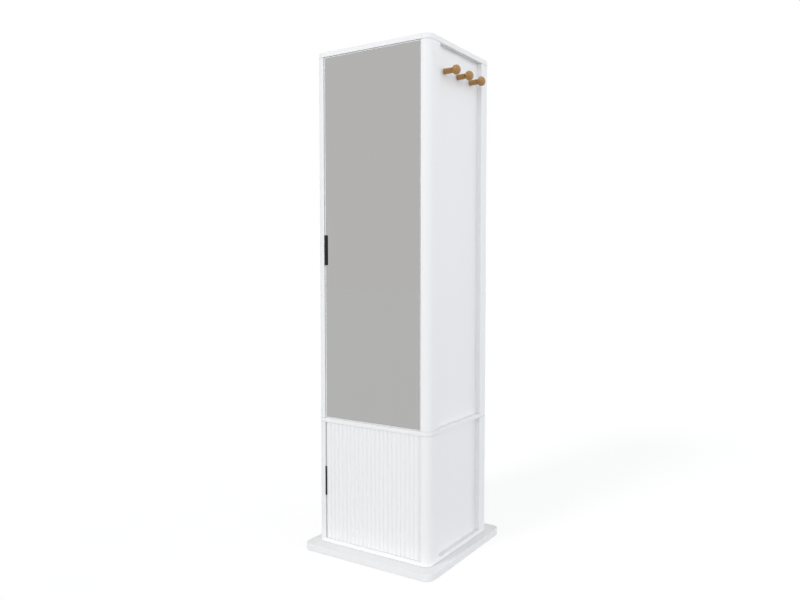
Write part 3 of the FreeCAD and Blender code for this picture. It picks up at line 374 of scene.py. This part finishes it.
def joined(name):
    """A bmesh of a CAD node with its split vertices joined and its flat faces whole."""
    shape = bmesh.new()
    shape.from_mesh(nodes[name].data)
    shape.faces.layers.float.new(EDGE)
    bmesh.ops.remove_doubles(shape, verts=shape.verts, dist=SPLIT * MM)
    bmesh.ops.dissolve_limit(shape, angle_limit=math.radians(FLAT_ANGLE), verts=shape.verts,
                             edges=shape.edges)
    return shape


def islands(name):
    """The lowest and highest corners of each separate solid in a CAD node, in millimetres."""
    shape = bmesh.new()
    shape.from_mesh(nodes[name].data)
    bmesh.ops.remove_doubles(shape, verts=shape.verts, dist=SPLIT * MM)
    found, seen = [], set()
    for start in shape.verts:
        if start in seen:
            continue
        seen.add(start)
        waiting, points = [start], []
        while waiting:
            vert = waiting.pop()
            points.append(vert.co / MM)
            for edge in vert.link_edges:
                other = edge.other_vert(vert)
                if other not in seen:
                    seen.add(other)
                    waiting.append(other)
        found.append(tuple(Vector(limit(point[i] for point in points) for i in range(3))
                           for limit in (min, max)))
    shape.free()
    return found


def bar(low, high, sign=1):
    """The start, direction, length and radius of a bar between two corners.

    It lies along its longest side, and points up that axis, or down it with a sign of -1.
    """
    size = high - low
    axis = max(range(3), key=lambda i: size[i])
    start = (low + high) / 2
    start[axis] = low[axis] if sign > 0 else high[axis]
    towards = Vector((0, 0, 0))
    towards[axis] = sign
    return start, towards, size[axis], size[(axis + 1) % 3] / 2


# ---------------------------------------------------------------- eased edges

def bevel(shape, width, edges, segments=2):
    """Rounds these edges off and marks the new faces as eased."""
    marks = shape.faces.layers.float.get(EDGE)
    made = bmesh.ops.bevel(shape, geom=edges, offset=width * MM, offset_type="OFFSET",
                           segments=segments, profile=0.5, affect="EDGES", clamp_overlap=True)
    for face in made["faces"]:
        face[marks] = 1.0


def sharp_edges(shape, least_face):
    """The edges whose faces meet at a corner and are at least so many square millimetres."""
    least = least_face * MM * MM
    return [edge for edge in shape.edges
            if len(edge.link_faces) == 2
            and edge.calc_face_angle() > math.radians(SHARP_ANGLE)
            and min(face.calc_area() for face in edge.link_faces) >= least]


def ease(shape, width, least_face, segments=2):
    """Rounds the sharp edges off."""
    if not shape.faces.layers.float.get(EDGE):
        shape.faces.layers.float.new(EDGE)
    bevel(shape, width, sharp_edges(shape, least_face), segments)


def eased(name, width, least_face=BOARD_FACE):
    """A CAD node with its edges eased, in its place."""
    shape = joined(name)
    ease(shape, width, least_face)
    piece(name + "_eased", shape, body_of[name], slot_of[name], [name])


# ---------------------------------------------------------------- lathed forms

def turned(shape, start, towards, rings, segments=32, closed=False):
    """Adds a lathed form: rings of (distance along the axis, radius) in millimetres.

    A radius may be a function of the angle. The ends are capped, or joined to each other if
    closed. Angles count from +X on an upright axis.
    """
    axis = Vector(towards).normalized()
    side = Vector((1, 0, 0)) if abs(axis.z) > 0.9 else axis.orthogonal().normalized()
    other = axis.cross(side)
    loops = []
    for along, radius in rings:
        loop = []
        for step in range(segments):
            angle = math.tau * step / segments
            reach = radius(angle) if callable(radius) else radius
            spoke = side * math.cos(angle) + other * math.sin(angle)
            loop.append(shape.verts.new((Vector(start) + axis * along + spoke * reach) * MM))
        loops.append(loop)
    pairs = list(zip(loops, loops[1:])) + ([(loops[-1], loops[0])] if closed else [])
    for low, high in pairs:
        for step in range(segments):
            after = (step + 1) % segments
            shape.faces.new((low[step], low[after], high[after], high[step]))
    if not closed:
        shape.faces.new(tuple(reversed(loops[0])))
        shape.faces.new(tuple(loops[-1]))
    return loops


# Pegs: a turned shaft with a neck groove and a full round knob, screwed on from inside.
PEG_SHAFT = 9.4
PEG_KNOB_MIDDLE = 45.6      # from the foot
PEG_KNOB_RADIUS = 16.3
PEG_KNOB_HALF = 14.2        # along the peg
PEG_KNOB_FULLNESS = 0.018   # how far the knob's shoulders stand out of an ellipse
PEG_KNOB_STEPS = 22
PEG_NECK_TURN = 148         # degrees from the knob's tip back to its neck
PEG_SEGMENTS = 48


def peg_rings():
    rings = [(0.0, 6.0), (0.0, 8.8), (0.25, 9.2), (0.8, PEG_SHAFT), (12.0, PEG_SHAFT),
             (24.0, 9.3), (30.6, 9.15), (32.0, 9.0), (32.5, 8.1), (33.1, 7.5), (33.7, 7.9)]
    for step in range(1, PEG_KNOB_STEPS):
        turn = math.radians(PEG_NECK_TURN) * (1 - step / PEG_KNOB_STEPS)
        bulge = 1.0 + PEG_KNOB_FULLNESS * math.sin(2 * turn) ** 2
        rings.append((PEG_KNOB_MIDDLE + PEG_KNOB_HALF * math.cos(turn),
                      PEG_KNOB_RADIUS * math.sin(turn) * bulge))
    tip = PEG_KNOB_MIDDLE + PEG_KNOB_HALF
    return rings + [(tip - 0.05, 1.5), (tip - 0.12, 0.9), (tip - 0.5, 0.45)]


def peg(node_name, outwards):
    low, high = corners_of(node_name)
    foot = (low.x if outwards > 0 else high.x, (low.y + high.y) / 2, (low.z + high.z) / 2)
    shape = bmesh.new()
    turned(shape, foot, (outwards, 0, 0), peg_rings(), PEG_SEGMENTS)
    piece(node_name + "_turned", shape, "column", "oak", [node_name], smooth_angle=50)


for side_name, outwards in (("left", -1), ("right", 1)):
    for place_name in ("front", "middle", "rear"):
        peg(f"{side_name}_{place_name}_peg", outwards)


# ---------------------------------------------------------------- screws

SCREW_SEGMENTS = 24
THREAD_STEP = 1.3               # from one turn of a wood screw's thread to the next
RECESS_TOP = (0.62, 0.13)       # a cross recess at the top: its arms' length and half their width,
RECESS_BOTTOM = (0.34, 0.10)    # and at the bottom, as shares of the head's radius
RECESS_DEEPEST = 1.3


def cross_recess(shape, top, towards, head, dome, depth):
    """A cross recess in a head; top is the middle of the head's top. Gives its upper outline."""
    axis = Vector(towards).normalized()
    side = axis.orthogonal().normalized()
    other = axis.cross(side)

    def at(u, v, drop):
        return shape.verts.new((Vector(top) + side * u + other * v - axis * drop) * MM)

    def outline(shares, drop):
        reach, half = (head * share for share in shares)
        corners = [(reach, -half), (reach, half), (half, half), (half, reach), (-half, reach),
                   (-half, half), (-reach, half), (-reach, -half), (-half, -half),
                   (-half, -reach), (half, -reach), (half, -half)]
        return [at(u, v, drop(math.hypot(u, v))) for u, v in corners]

    upper = outline(RECESS_TOP, lambda radius: dome * (radius / head) ** 2)
    lower = outline(RECESS_BOTTOM, lambda radius: depth)
    for first in range(len(upper)):
        second = (first + 1) % len(upper)
        shape.faces.new((upper[first], upper[second], lower[second], lower[first]))
    shape.faces.new(lower)
    return upper


def screw(shape, tip, towards, length, shank, head, head_height, dome=0.5, countersunk=False):
    """A wood screw from its tip to its head: thread, shank, head with a cross recess.

    shank and head are radii, and dome is how high a round head arches.
    """
    under = length - head_height
    along = shank * 1.2
    rings = [(0.0, 0.12), (along, shank * 0.62)]
    while along < under * 0.68:
        rings += [(along + 0.15, shank), (along + 0.75, shank * 0.76)]
        along += THREAD_STEP
    rings += [(under * 0.7, shank * 0.82), (under * 0.72, shank * 0.9)]
    if countersunk:
        rings += [(under - 0.3, shank * 0.9), (length - 0.25, head), (length - 0.02, head)]
    else:
        shoulder = length - dome
        rings += [(under, shank * 0.9), (under, head * 0.94), (under + 0.12, head),
                  (shoulder - 0.05, head), (shoulder + dome * 0.35, head * 0.93)]
    rim = set(turned(shape, tip, towards, rings, SCREW_SEGMENTS)[-1])
    cap = next(face for vert in rim for face in vert.link_faces if set(face.verts) == rim)
    shape.faces.remove(cap)
    top = Vector(tip) + Vector(towards).normalized() * length
    recess = set(cross_recess(shape, top, towards, head, 0.02 if countersunk else dome * 0.9,
                              min(RECESS_DEEPEST, head * 0.42)))
    open_edges = [edge for edge in shape.edges
                  if len(edge.link_faces) == 1
                  and (rim.issuperset(edge.verts) or recess.issuperset(edge.verts))]
    bmesh.ops.triangle_fill(shape, use_beauty=True, edges=open_edges)


def screws(node_name, head_sign, shank, head, head_height, dome=0.5, countersunk=False):
    """Detailed screws in the places of a CAD node's plain ones.

    head_sign(low, high) is 1 where the head looks along the axis that the screw lies on, and -1
    where it looks against it.
    """
    shape = bmesh.new()
    for low, high in islands(node_name):
        tip, towards, length, _ = bar(low, high, head_sign(low, high))
        screw(shape, tip, towards, length, shank, head, head_height, dome, countersunk)
    piece(node_name + "_cross_head", shape, body_of[node_name], slot_of[node_name], [node_name])


def inwards(low, high):
    return 1 if low.x + high.x < 0 else -1


def along_axis(low, high):
    return 1


def against_axis(low, high):
    return -1


screws("peg_screws", inwards, 2.5, 4.5, 2.0)
screws("rail_socket_screws", inwards, 2.0, 4.0, 1.5)
screws("upper_handle_screws", against_axis, 1.5, 3.0, 0.9, dome=0.35)
screws("lower_handle_screws", against_axis, 1.5, 3.0, 0.9, dome=0.35)
screws("lower_race_screws", along_axis, 1.75, 3.5, 1.4, countersunk=True)
screws("upper_race_screws", against_axis, 1.75, 3.5, 1.4, countersunk=True)
screws("catch_screws", against_axis, 1.5, 2.6, 1.3, countersunk=True)


# ---------------------------------------------------------------- king bolt

# Chamfered hexagons, a cut thread, a washer and a nylon-ringed lock nut.
HEX_ACROSS = 19.0
BOLT_RADIUS = 6.0
BOLT_PITCH = 1.75
THREAD_DEPTH = 0.9
THREAD_START = 30.5     # from the head
RINGS_PER_TURN = 5
BOLT_SEGMENTS = 48


def hexagon(trim):
    """Radius of the hexagon at an angle, cut back to a circle by its chamfer."""
    def reach(angle):
        return min(HEX_ACROSS / 2 / math.cos(angle % (math.pi / 3) - math.pi / 6), trim)
    return reach


def thread(along):
    """Radius of the thread at this height, as a function of the angle."""
    def reach(angle):
        phase = (along / BOLT_PITCH - angle / math.tau) % 1.0
        return BOLT_RADIUS - THREAD_DEPTH * abs(2.0 * phase - 1.0)
    return reach


def on_bolt_axis(name, slot, height, rings, replaced=(), segments=BOLT_SEGMENTS, closed=True):
    """A piece of the base that is turned round the swivel axis, upwards from a height."""
    shape = bmesh.new()
    turned(shape, (0, 0, height), UP, rings, segments, closed)
    piece(name, shape, "base", slot, replaced)


def king_bolt():
    low, high = corners_of("swivel_king_bolt")
    length = high.z - low.z
    rings = [(0.0, hexagon(9.1)), (0.3, hexagon(9.7)), (0.7, hexagon(10.4)), (1.1, hexagon(11)),
             (7.5, hexagon(11)), (7.5, BOLT_RADIUS + 0.6), (8.1, BOLT_RADIUS), (30.0, BOLT_RADIUS)]
    along = THREAD_START
    while along < length - 1.2:
        rings.append((along, thread(along)))
        along += BOLT_PITCH / RINGS_PER_TURN
    rings += [(length - 0.6, 5.1), (length, 4.5)]
    on_bolt_axis("king_bolt_threaded", "zinc_steel", low.z, rings, ["swivel_king_bolt"],
                 closed=False)


def king_bolt_nut():
    bottom = corners_of("king_bolt_nut")[0].z
    on_bolt_axis("king_bolt_lock_nut", "zinc_steel", bottom,
                 [(0.0, hexagon(9.3)), (0.4, hexagon(10.1)), (0.9, hexagon(11)),
                  (6.4, hexagon(11)), (7.0, hexagon(10.1)), (7.3, 9.0), (9.0, 8.6), (9.7, 8.1),
                  (10.0, 7.5), (10.0, 7.0), (9.7, 6.8), (7.8, 6.8), (7.8, BOLT_RADIUS),
                  (0.6, BOLT_RADIUS), (0.0, 6.6)], ["king_bolt_nut"])
    on_bolt_axis("king_bolt_nut_ring", "nylon", bottom + 7.9,
                 [(0.0, 6.75), (1.4, 6.75), (1.75, 6.5), (1.8, 6.1), (1.6, 5.8), (0.0, 5.8)])


def king_bolt_washer():
    on_bolt_axis("king_bolt_washer_stamped", "zinc_steel", corners_of("king_bolt_washer")[0].z,
                 [(0.0, 14.4), (0.15, 14.8), (0.5, 15.0), (1.4, 15.0), (1.8, 14.8), (2.0, 14.3),
                  (2.0, 7.0), (1.8, 6.6), (1.4, 6.5), (0.3, 6.5), (0.0, 6.8)],
                 ["king_bolt_washer"], segments=64)


king_bolt()
king_bolt_nut()
king_bolt_washer()


# ---------------------------------------------------------------- rail, pins, dowels and glides

RAIL_WALL = 1.5
DOWEL_FLUTES = 16
FLUTE_HALF_DEPTH = 0.11
FELT_FUZZ = 0.06


def rods(name, suffix, rings_for, segments=32):
    """Replaces each plain rod in a CAD node by a turned one; rings_for(length, radius)."""
    shape = bmesh.new()
    for low, high in islands(name):
        start, towards, length, radius = bar(low, high)
        turned(shape, start, towards, rings_for(length, radius), segments)
    piece(name + suffix, shape, body_of[name], slot_of[name], [name])


def fluted(radius):
    return lambda angle: radius - FLUTE_HALF_DEPTH * (1 + math.cos(DOWEL_FLUTES * angle))


def fuzzy(radius):
    """The radius of a felt disc's edge, which two sets of loose fibres make uneven."""
    return lambda angle: radius - FELT_FUZZ * (
        1 + math.sin(31 * angle)) * (1 + math.sin(19 * angle + 1))


def pin_rings(length, radius):
    return [(0.0, radius - 0.5), (0.15, radius - 0.2), (0.5, radius), (length - 0.5, radius),
            (length - 0.15, radius - 0.2), (length, radius - 0.5)]


def dowel_rings(length, radius):
    return [(0.0, radius - 1.0), (0.9, fluted(radius)), (length - 0.9, fluted(radius)),
            (length, radius - 1.0)]


def felt_rings(length, radius):
    return [(0.0, fuzzy(radius - 0.9)), (0.25, fuzzy(radius - 0.35)), (0.8, fuzzy(radius)),
            (length - 0.6, fuzzy(radius)), (length - 0.1, fuzzy(radius - 0.4)),
            (length, radius - 0.8)]


def hanging_rail():
    """A thin-walled steel tube with its ends rolled in a little."""
    low, high = corners_of("hanging_rail")
    length, radius = high.x - low.x, (high.z - low.z) / 2
    outside = [(0.0, radius - 0.6), (0.15, radius - 0.2), (0.6, radius), (length - 0.6, radius),
               (length - 0.15, radius - 0.2), (length, radius - 0.6)]
    inside = [(along, radius - RAIL_WALL) for along in (length - 0.1, 0.1)]
    shape = bmesh.new()
    turned(shape, (low.x, (low.y + high.y) / 2, (low.z + high.z) / 2), (1, 0, 0),
           outside + inside, segments=64, closed=True)
    piece("hanging_rail_tube", shape, "column", "chrome", ["hanging_rail"])


def glides():
    shape = bmesh.new()
    for low, high in islands("base_glides"):
        middle = (low + high) / 2
        turned(shape, (middle.x, middle.y, low.z), UP,
               felt_rings(high.z - low.z, (high.x - low.x) / 2), segments=96)
    piece("base_glides_felt", shape, "base", "felt", ["base_glides"])


hanging_rail()
rods("upper_door_pivot_pins", "_turned", pin_rings)
rods("lower_door_pivot_pins", "_turned", pin_rings)
rods("frame_dowels", "_fluted", dowel_rings, segments=64)
glides()


# ---------------------------------------------------------------- magnetic catches

# A moulded housing with two steel pole plates in its window, and a strike plate on the door.
CATCH_WALL = 2.2        # round the window
WINDOW_DEPTH = 1.2
POLE_PLACES = (-2.3, 2.3)
POLE_HALF = 0.75        # half a pole plate's thickness
POLE_IN = 8.0           # from the housing's ends
STRIKE_CORNER = 2.5
STRIKE_SCREW_LENGTH = 11.15


def slab(shape, low, high):
    low, high = Vector(low) * MM, Vector(high) * MM
    place = Matrix.Translation((low + high) / 2) @ Matrix.Diagonal((*(high - low), 1.0))
    bmesh.ops.create_cube(shape, size=1.0, matrix=place)


def catch(section):
    node_name = section + "_magnet_catch"
    low, high = corners_of(node_name)
    housing = bmesh.new()
    slab(housing, low, high)
    front = min(housing.faces, key=lambda face: face.calc_center_median().y)
    bmesh.ops.inset_individual(housing, faces=[front], thickness=CATCH_WALL * MM,
                               depth=-WINDOW_DEPTH * MM)
    ease(housing, 0.7, least_face=1.0, segments=3)
    piece(section + "_catch_housing", housing, "column", "catch_plastic", [node_name])
    poles = bmesh.new()
    middle = ((low + high) / 2).z
    for place in POLE_PLACES:
        slab(poles, (low.x + POLE_IN, low.y + 0.1, middle + place - POLE_HALF),
             (high.x - POLE_IN, low.y + 7.0, middle + place + POLE_HALF))
    ease(poles, 0.2, least_face=1.0)
    piece(section + "_catch_poles", poles, "column", "zinc_steel")


def strike(section):
    node_name = section + "_strike_plate"
    low, high = corners_of(node_name)
    plate = joined(node_name)

    def along(edge, axis):
        return abs((edge.verts[0].co - edge.verts[1].co)[axis])

    corners = [edge for edge in plate.edges
               if along(edge, 1) > 0.5 * MM and along(edge, 0) < 0.1 * MM]
    bmesh.ops.bevel(plate, geom=corners, offset=STRIKE_CORNER * MM, offset_type="OFFSET",
                    segments=5, profile=0.5, affect="EDGES", clamp_overlap=True)
    ease(plate, 0.2, least_face=5.0)
    piece(node_name + "_stamped", plate, body_of[node_name], "zinc_steel", [node_name])
    holder = bmesh.new()
    middle = (low + high) / 2
    screw(holder, (middle.x, high.y - 11.0, middle.z), (0, 1, 0), STRIKE_SCREW_LENGTH,
          shank=1.3, head=2.9, head_height=0.5, dome=0.14)
    piece(section + "_strike_screw", holder, body_of[node_name], "zinc_steel")


for section in ("upper", "lower"):
    catch(section)
    strike(section)


# ---------------------------------------------------------------- posts, boards and hardware

BOARD_EDGE = 0.8            # how far edges are rounded off
PANEL_EDGE = 0.3
GAP_EDGE = 0.15
GAP_DEPTH = 1.0
UNDER_DIVIDER = 0.22        # heights of the shadow gaps
OVER_DIVIDER = 0.6
UNDER_TOP = 0.65
SEAT_INSET = 0.05           # width of the gap's slope up to the seat on the board
SAME_LEVEL = 0.01
BOTTOM, TOP = 0, 1          # the ends of a post


def shadow_gap(shape, level, height):
    """Cuts a step round the end of a post at this level, so that a fine dark line parts it from
    its board. The step's faces are marked for the lacquer's near-black painted shade."""
    marks = shape.faces.layers.float[GAP_SHADE_FACES]
    ends = [face for face in shape.faces
            if all(abs(vert.co.z - level) < SAME_LEVEL * MM for vert in face.verts)]
    middle = sum(vert.co.z for vert in shape.verts) / len(shape.verts)
    shift = math.copysign(height * MM, middle - level)
    for thickness in (GAP_DEPTH, SEAT_INSET):
        made = bmesh.ops.inset_region(shape, faces=ends, thickness=thickness * MM, depth=0.0,
                                      use_even_offset=True)
        # mark the gap's faces for the near-black painted shade
        for face in made["faces"]:
            face[marks] = 1.0
    seat = {vert for face in ends for vert in face.verts}
    for vert in shape.verts:
        if abs(vert.co.z - level) < SAME_LEVEL * MM and vert not in seat:
            vert.co.z += shift


def post(name, gaps):
    """A post with its edges eased and a shadow gap at some of its ends: (end, height)."""
    shape = joined(name)
    marks = shape.faces.layers.float.new(GAP_SHADE_FACES)
    levels = [corner.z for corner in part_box(name)]
    for end, height in gaps:
        shadow_gap(shape, levels[end], height)
    for width, faces_inside, least in ((BOARD_EDGE, 0, BOARD_FACE), (GAP_EDGE, 1, 0.0)):
        bevel(shape, width, [edge for edge in sharp_edges(shape, least)
                             if sum(face[marks] for face in edge.link_faces) == faces_inside])
    piece(name + "_eased", shape, "column", "white_lacquer", [name])


for section, gaps in (("lower", [(TOP, UNDER_DIVIDER)]),
                      ("upper", [(BOTTOM, OVER_DIVIDER), (TOP, UNDER_TOP)])):
    for place_name in ("front_left", "front_right", "rear_left", "rear_right"):
        post(f"{section}_{place_name}_post", gaps)
    for place_name in ("left", "right", "back"):
        eased(f"{section}_{place_name}_panel", PANEL_EDGE)
for name in ("lower_shelf", "middle_shelf", "hat_shelf"):
    eased(name, BOARD_EDGE)
for name, width, least_face in (
        ("upper_handle", 0.35, 2.0), ("lower_handle", 0.35, 2.0), ("left_rail_socket", 0.5, 4.0),
        ("right_rail_socket", 0.5, 4.0), ("pivot_bushes", 0.25, 1.5), ("shelf_pins", 0.3, 1.5),
        ("king_bolt_bush", 0.4, 1.5)):
    eased(name, width, least_face)


# ---------------------------------------------------------------- lower door

# Convex slats side by side, with a fine sharp groove between each two.
SLAT_PITCH = 17.37
FIRST_GROOVE = 19.3         # from the door's left edge
SLAT_DROP = 2.2             # from a slat's crest to its edges
SLAT_POWER = 2.5            # how flat the crest is
GROOVE_HALF = 0.75
GROOVE_DROP = 1.1
DOOR_CORNER = 5.0           # radius of the upright corners
DOOR_EDGE = 0.4             # how far the other edges are rounded off
CORNER_STEPS = 8
FROM_GROOVE = (0.0, GROOVE_HALF, 1.2, 2.2, 3.6, 5.2, 7.0, SLAT_PITCH / 2)
LAST_GROOVE = 1.0           # the least left of the door beyond a groove
PLACES = 4                  # decimals, so that stops from two grooves fall together


def reeded_door():
    low, high = corners_of("lower_door_panel")
    grooves = []
    at = low.x + FIRST_GROOVE
    while at < high.x - LAST_GROOVE:
        grooves.append(at)
        at += SLAT_PITCH

    def drop(x):
        """How far the front lies behind the slats' crests at x."""
        from_groove = min(abs(x - groove) for groove in grooves)
        slat = SLAT_DROP * max(0.0, 1.0 - from_groove / (SLAT_PITCH / 2)) ** SLAT_POWER
        slat += GROOVE_DROP * max(0.0, 1.0 - from_groove / GROOVE_HALF)
        into_corner = DOOR_CORNER - min(x - low.x, high.x - x)
        if into_corner <= 0.0:
            return slat
        round_off = DOOR_CORNER - math.sqrt(max(DOOR_CORNER ** 2 - into_corner ** 2, 0.0))
        return max(slat, round_off)

    stops = {low.x, high.x}
    for groove in grooves:
        for offset in FROM_GROOVE:
            stops |= {round(groove - offset, PLACES), round(groove + offset, PLACES)}
    for step in range(1, CORNER_STEPS + 1):
        reach = DOOR_CORNER * (1 - math.cos(math.pi / 2 * step / CORNER_STEPS))
        stops |= {round(low.x + reach, PLACES), round(high.x - reach, PLACES)}
    first_crest = grooves[0] - SLAT_PITCH / 2
    stops |= {round(low.x + DOOR_CORNER + share * (first_crest - low.x - DOOR_CORNER), PLACES)
              for share in (0.33, 0.66)}
    stops = sorted(x for x in stops if low.x <= x <= high.x)
    shape = bmesh.new()

    def ring(z, shrink):
        """The door's outline at a height, drawn in all round by shrink."""
        left, right, back = low.x + shrink, high.x - shrink, high.y - shrink
        points = [(min(max(x, left), right), low.y + drop(x) + shrink) for x in stops]
        points += [(right, back - 2 * DOOR_EDGE),
                   (right - 0.3 * DOOR_EDGE, back - 0.6 * DOOR_EDGE),
                   (right - DOOR_EDGE, back), (left + DOOR_EDGE, back),
                   (left + 0.3 * DOOR_EDGE, back - 0.6 * DOOR_EDGE),
                   (left, back - 2 * DOOR_EDGE)]
        return [shape.verts.new(Vector((x, y, z)) * MM) for x, y in points]

    rings = [ring(low.z, DOOR_EDGE), ring(low.z + 0.3 * DOOR_EDGE, 0.4 * DOOR_EDGE),
             ring(low.z + DOOR_EDGE, 0.0), ring(high.z - DOOR_EDGE, 0.0),
             ring(high.z - 0.3 * DOOR_EDGE, 0.4 * DOOR_EDGE), ring(high.z, DOOR_EDGE)]
    count = len(rings[0])
    for below, above in zip(rings, rings[1:]):
        for index in range(count):
            after = (index + 1) % count
            shape.faces.new((below[index], below[after], above[after], above[index]))
    shape.faces.new(list(reversed(rings[0])))
    shape.faces.new(rings[-1])
    piece("lower_door_reeded", shape, "lower_door", "white_lacquer", ["lower_door_panel"],
          smooth_angle=28)


reeded_door()


# ---------------------------------------------------------------- camera

CAMERA_PLACE = (1.4141, -2.2274, 1.0338)
CAMERA_LOOK = (-0.54045, 0.83971, -0.05293)
CAMERA_LENS = 32.63
SENSOR_WIDTH = 36.0

camera = bpy.data.objects.new("camera", bpy.data.cameras.new("camera"))
camera.location = CAMERA_PLACE
camera.rotation_mode = "QUATERNION"
camera.rotation_quaternion = Vector(CAMERA_LOOK).to_track_quat("-Z", "Y")
camera.data.lens = CAMERA_LENS
camera.data.sensor_width = SENSOR_WIDTH
bpy.context.scene.collection.objects.link(camera)
bpy.context.scene.camera = camera


# ---------------------------------------------------------------- light and floor

ROOM_LEVEL = 0.156          # the same from everywhere
WALLS_LEVEL = 1.235         # pale walls all round, brightest at eye level
WALLS_POWER = 3.0
ROOM_TINT = (0.985, 0.997, 1.02, 1)
FRONT_LEVEL = 0.485         # a large soft lamp in front
FRONT_TINT = (1.0, 0.998, 1.005, 1)
SIDE_LEVEL = 0.76           # and one at the right
SIDE_TINT = (0.955, 0.995, 1.05, 1)
BACK_LEVEL = 0.40           # and one behind
BACK_TINT = (0.985, 0.997, 1.02, 1)
LAMP_POWER = 2.0            # how fast a lamp fades to its sides
SUN_LEVEL = 0.80            # and one above in front, which throws the soft shadows
SUN_TINT = (1.0, 0.993, 0.985)
SUN_WIDTH = 12              # degrees
SUN_AZIMUTH = -12.6         # degrees from the front towards the right
SUN_ELEVATION = 40.4
FLOOR_SIZE = 40.0
FLOOR_FOR_LIGHT = 0.43      # what the floor is to the light that falls on the cabinet
FLOOR_SEEN = 0.3            # and what is seen of it: a part that takes shadows
FLOOR_GLOW = 0.757          # and a glow that brings it up to white


def seen_directly(g):
    """1 for what the camera sees, straight or through a reflection or glass."""
    rays = g.node("LightPath").outputs
    seen = g.math("MAXIMUM", rays["Is Camera Ray"], rays["Is Glossy Ray"])
    return g.math("MAXIMUM", seen, rays["Is Transmission Ray"])


def lamp(g, towards, level):
    """The brightness of a large soft lamp; towards is how far a direction looks its way."""
    spread = g.math("POWER", g.math("MAXIMUM", towards, 0.0), LAMP_POWER)
    return g.math("MULTIPLY", spread, level)


def grey(value):
    return (value, value, value, 1)


world = bpy.data.worlds.new("studio")
world.use_nodes = True
bpy.context.scene.world = world
g = Graph(world.node_tree)
direction = g.parts(g.node("TexCoord").outputs["Generated"])
level = g.math("SUBTRACT", 1.0, g.math("MULTIPLY", direction["Z"], direction["Z"]))
walls = g.math("MULTIPLY", g.math("POWER", level, WALLS_POWER), WALLS_LEVEL)
light = g.node("Background", {"Color": grey(0), "Strength": 0.0})
for tint, strength in (
        (ROOM_TINT, g.math("ADD", walls, ROOM_LEVEL)),
        (FRONT_TINT, lamp(g, g.math("MULTIPLY", direction["Y"], -1.0), FRONT_LEVEL)),
        (SIDE_TINT, lamp(g, direction["X"], SIDE_LEVEL)),
        (BACK_TINT, lamp(g, direction["Y"], BACK_LEVEL))):
    added = g.node("Background", {"Color": tint, "Strength": strength})
    light = g.node("AddShader", {0: light.outputs[0], 1: added.outputs[0]})
backdrop = g.node("Background", {"Color": grey(1), "Strength": 1.0})
both = g.node("MixShader", {0: seen_directly(g), 1: light.outputs[0], 2: backdrop.outputs[0]})
g.finish(both.outputs[0], "World")

bpy.ops.mesh.primitive_plane_add(size=FLOOR_SIZE)
floor = bpy.context.active_object
floor.name = "floor"
paint = bpy.data.materials.new("floor_paint")
paint.use_nodes = True
g = Graph(paint.node_tree)
studio = g.node("BsdfDiffuse", {"Color": grey(FLOOR_FOR_LIGHT)})
shadowed = g.node("BsdfDiffuse", {"Color": grey(FLOOR_SEEN)})
glow = g.node("Emission", {"Color": grey(1), "Strength": FLOOR_GLOW})
shown = g.node("AddShader", {0: shadowed.outputs[0], 1: glow.outputs[0]})
both = g.node("MixShader", {0: seen_directly(g), 1: studio.outputs[0], 2: shown.outputs[0]})
g.finish(both.outputs[0], "Material")
floor.data.materials.append(paint)

sun = bpy.data.objects.new("sun", bpy.data.lights.new("sun", "SUN"))
sun.data.energy = SUN_LEVEL
sun.data.color = SUN_TINT
sun.data.angle = math.radians(SUN_WIDTH)
azimuth, elevation = math.radians(SUN_AZIMUTH), math.radians(SUN_ELEVATION)
towards = Vector((math.sin(azimuth) * math.cos(elevation),
                  -math.cos(azimuth) * math.cos(elevation), math.sin(elevation)))
sun.rotation_mode = "QUATERNION"
sun.rotation_quaternion = towards.to_track_quat("Z", "Y")
bpy.context.scene.collection.objects.link(sun)

bpy.context.scene.view_settings.view_transform = "Standard"
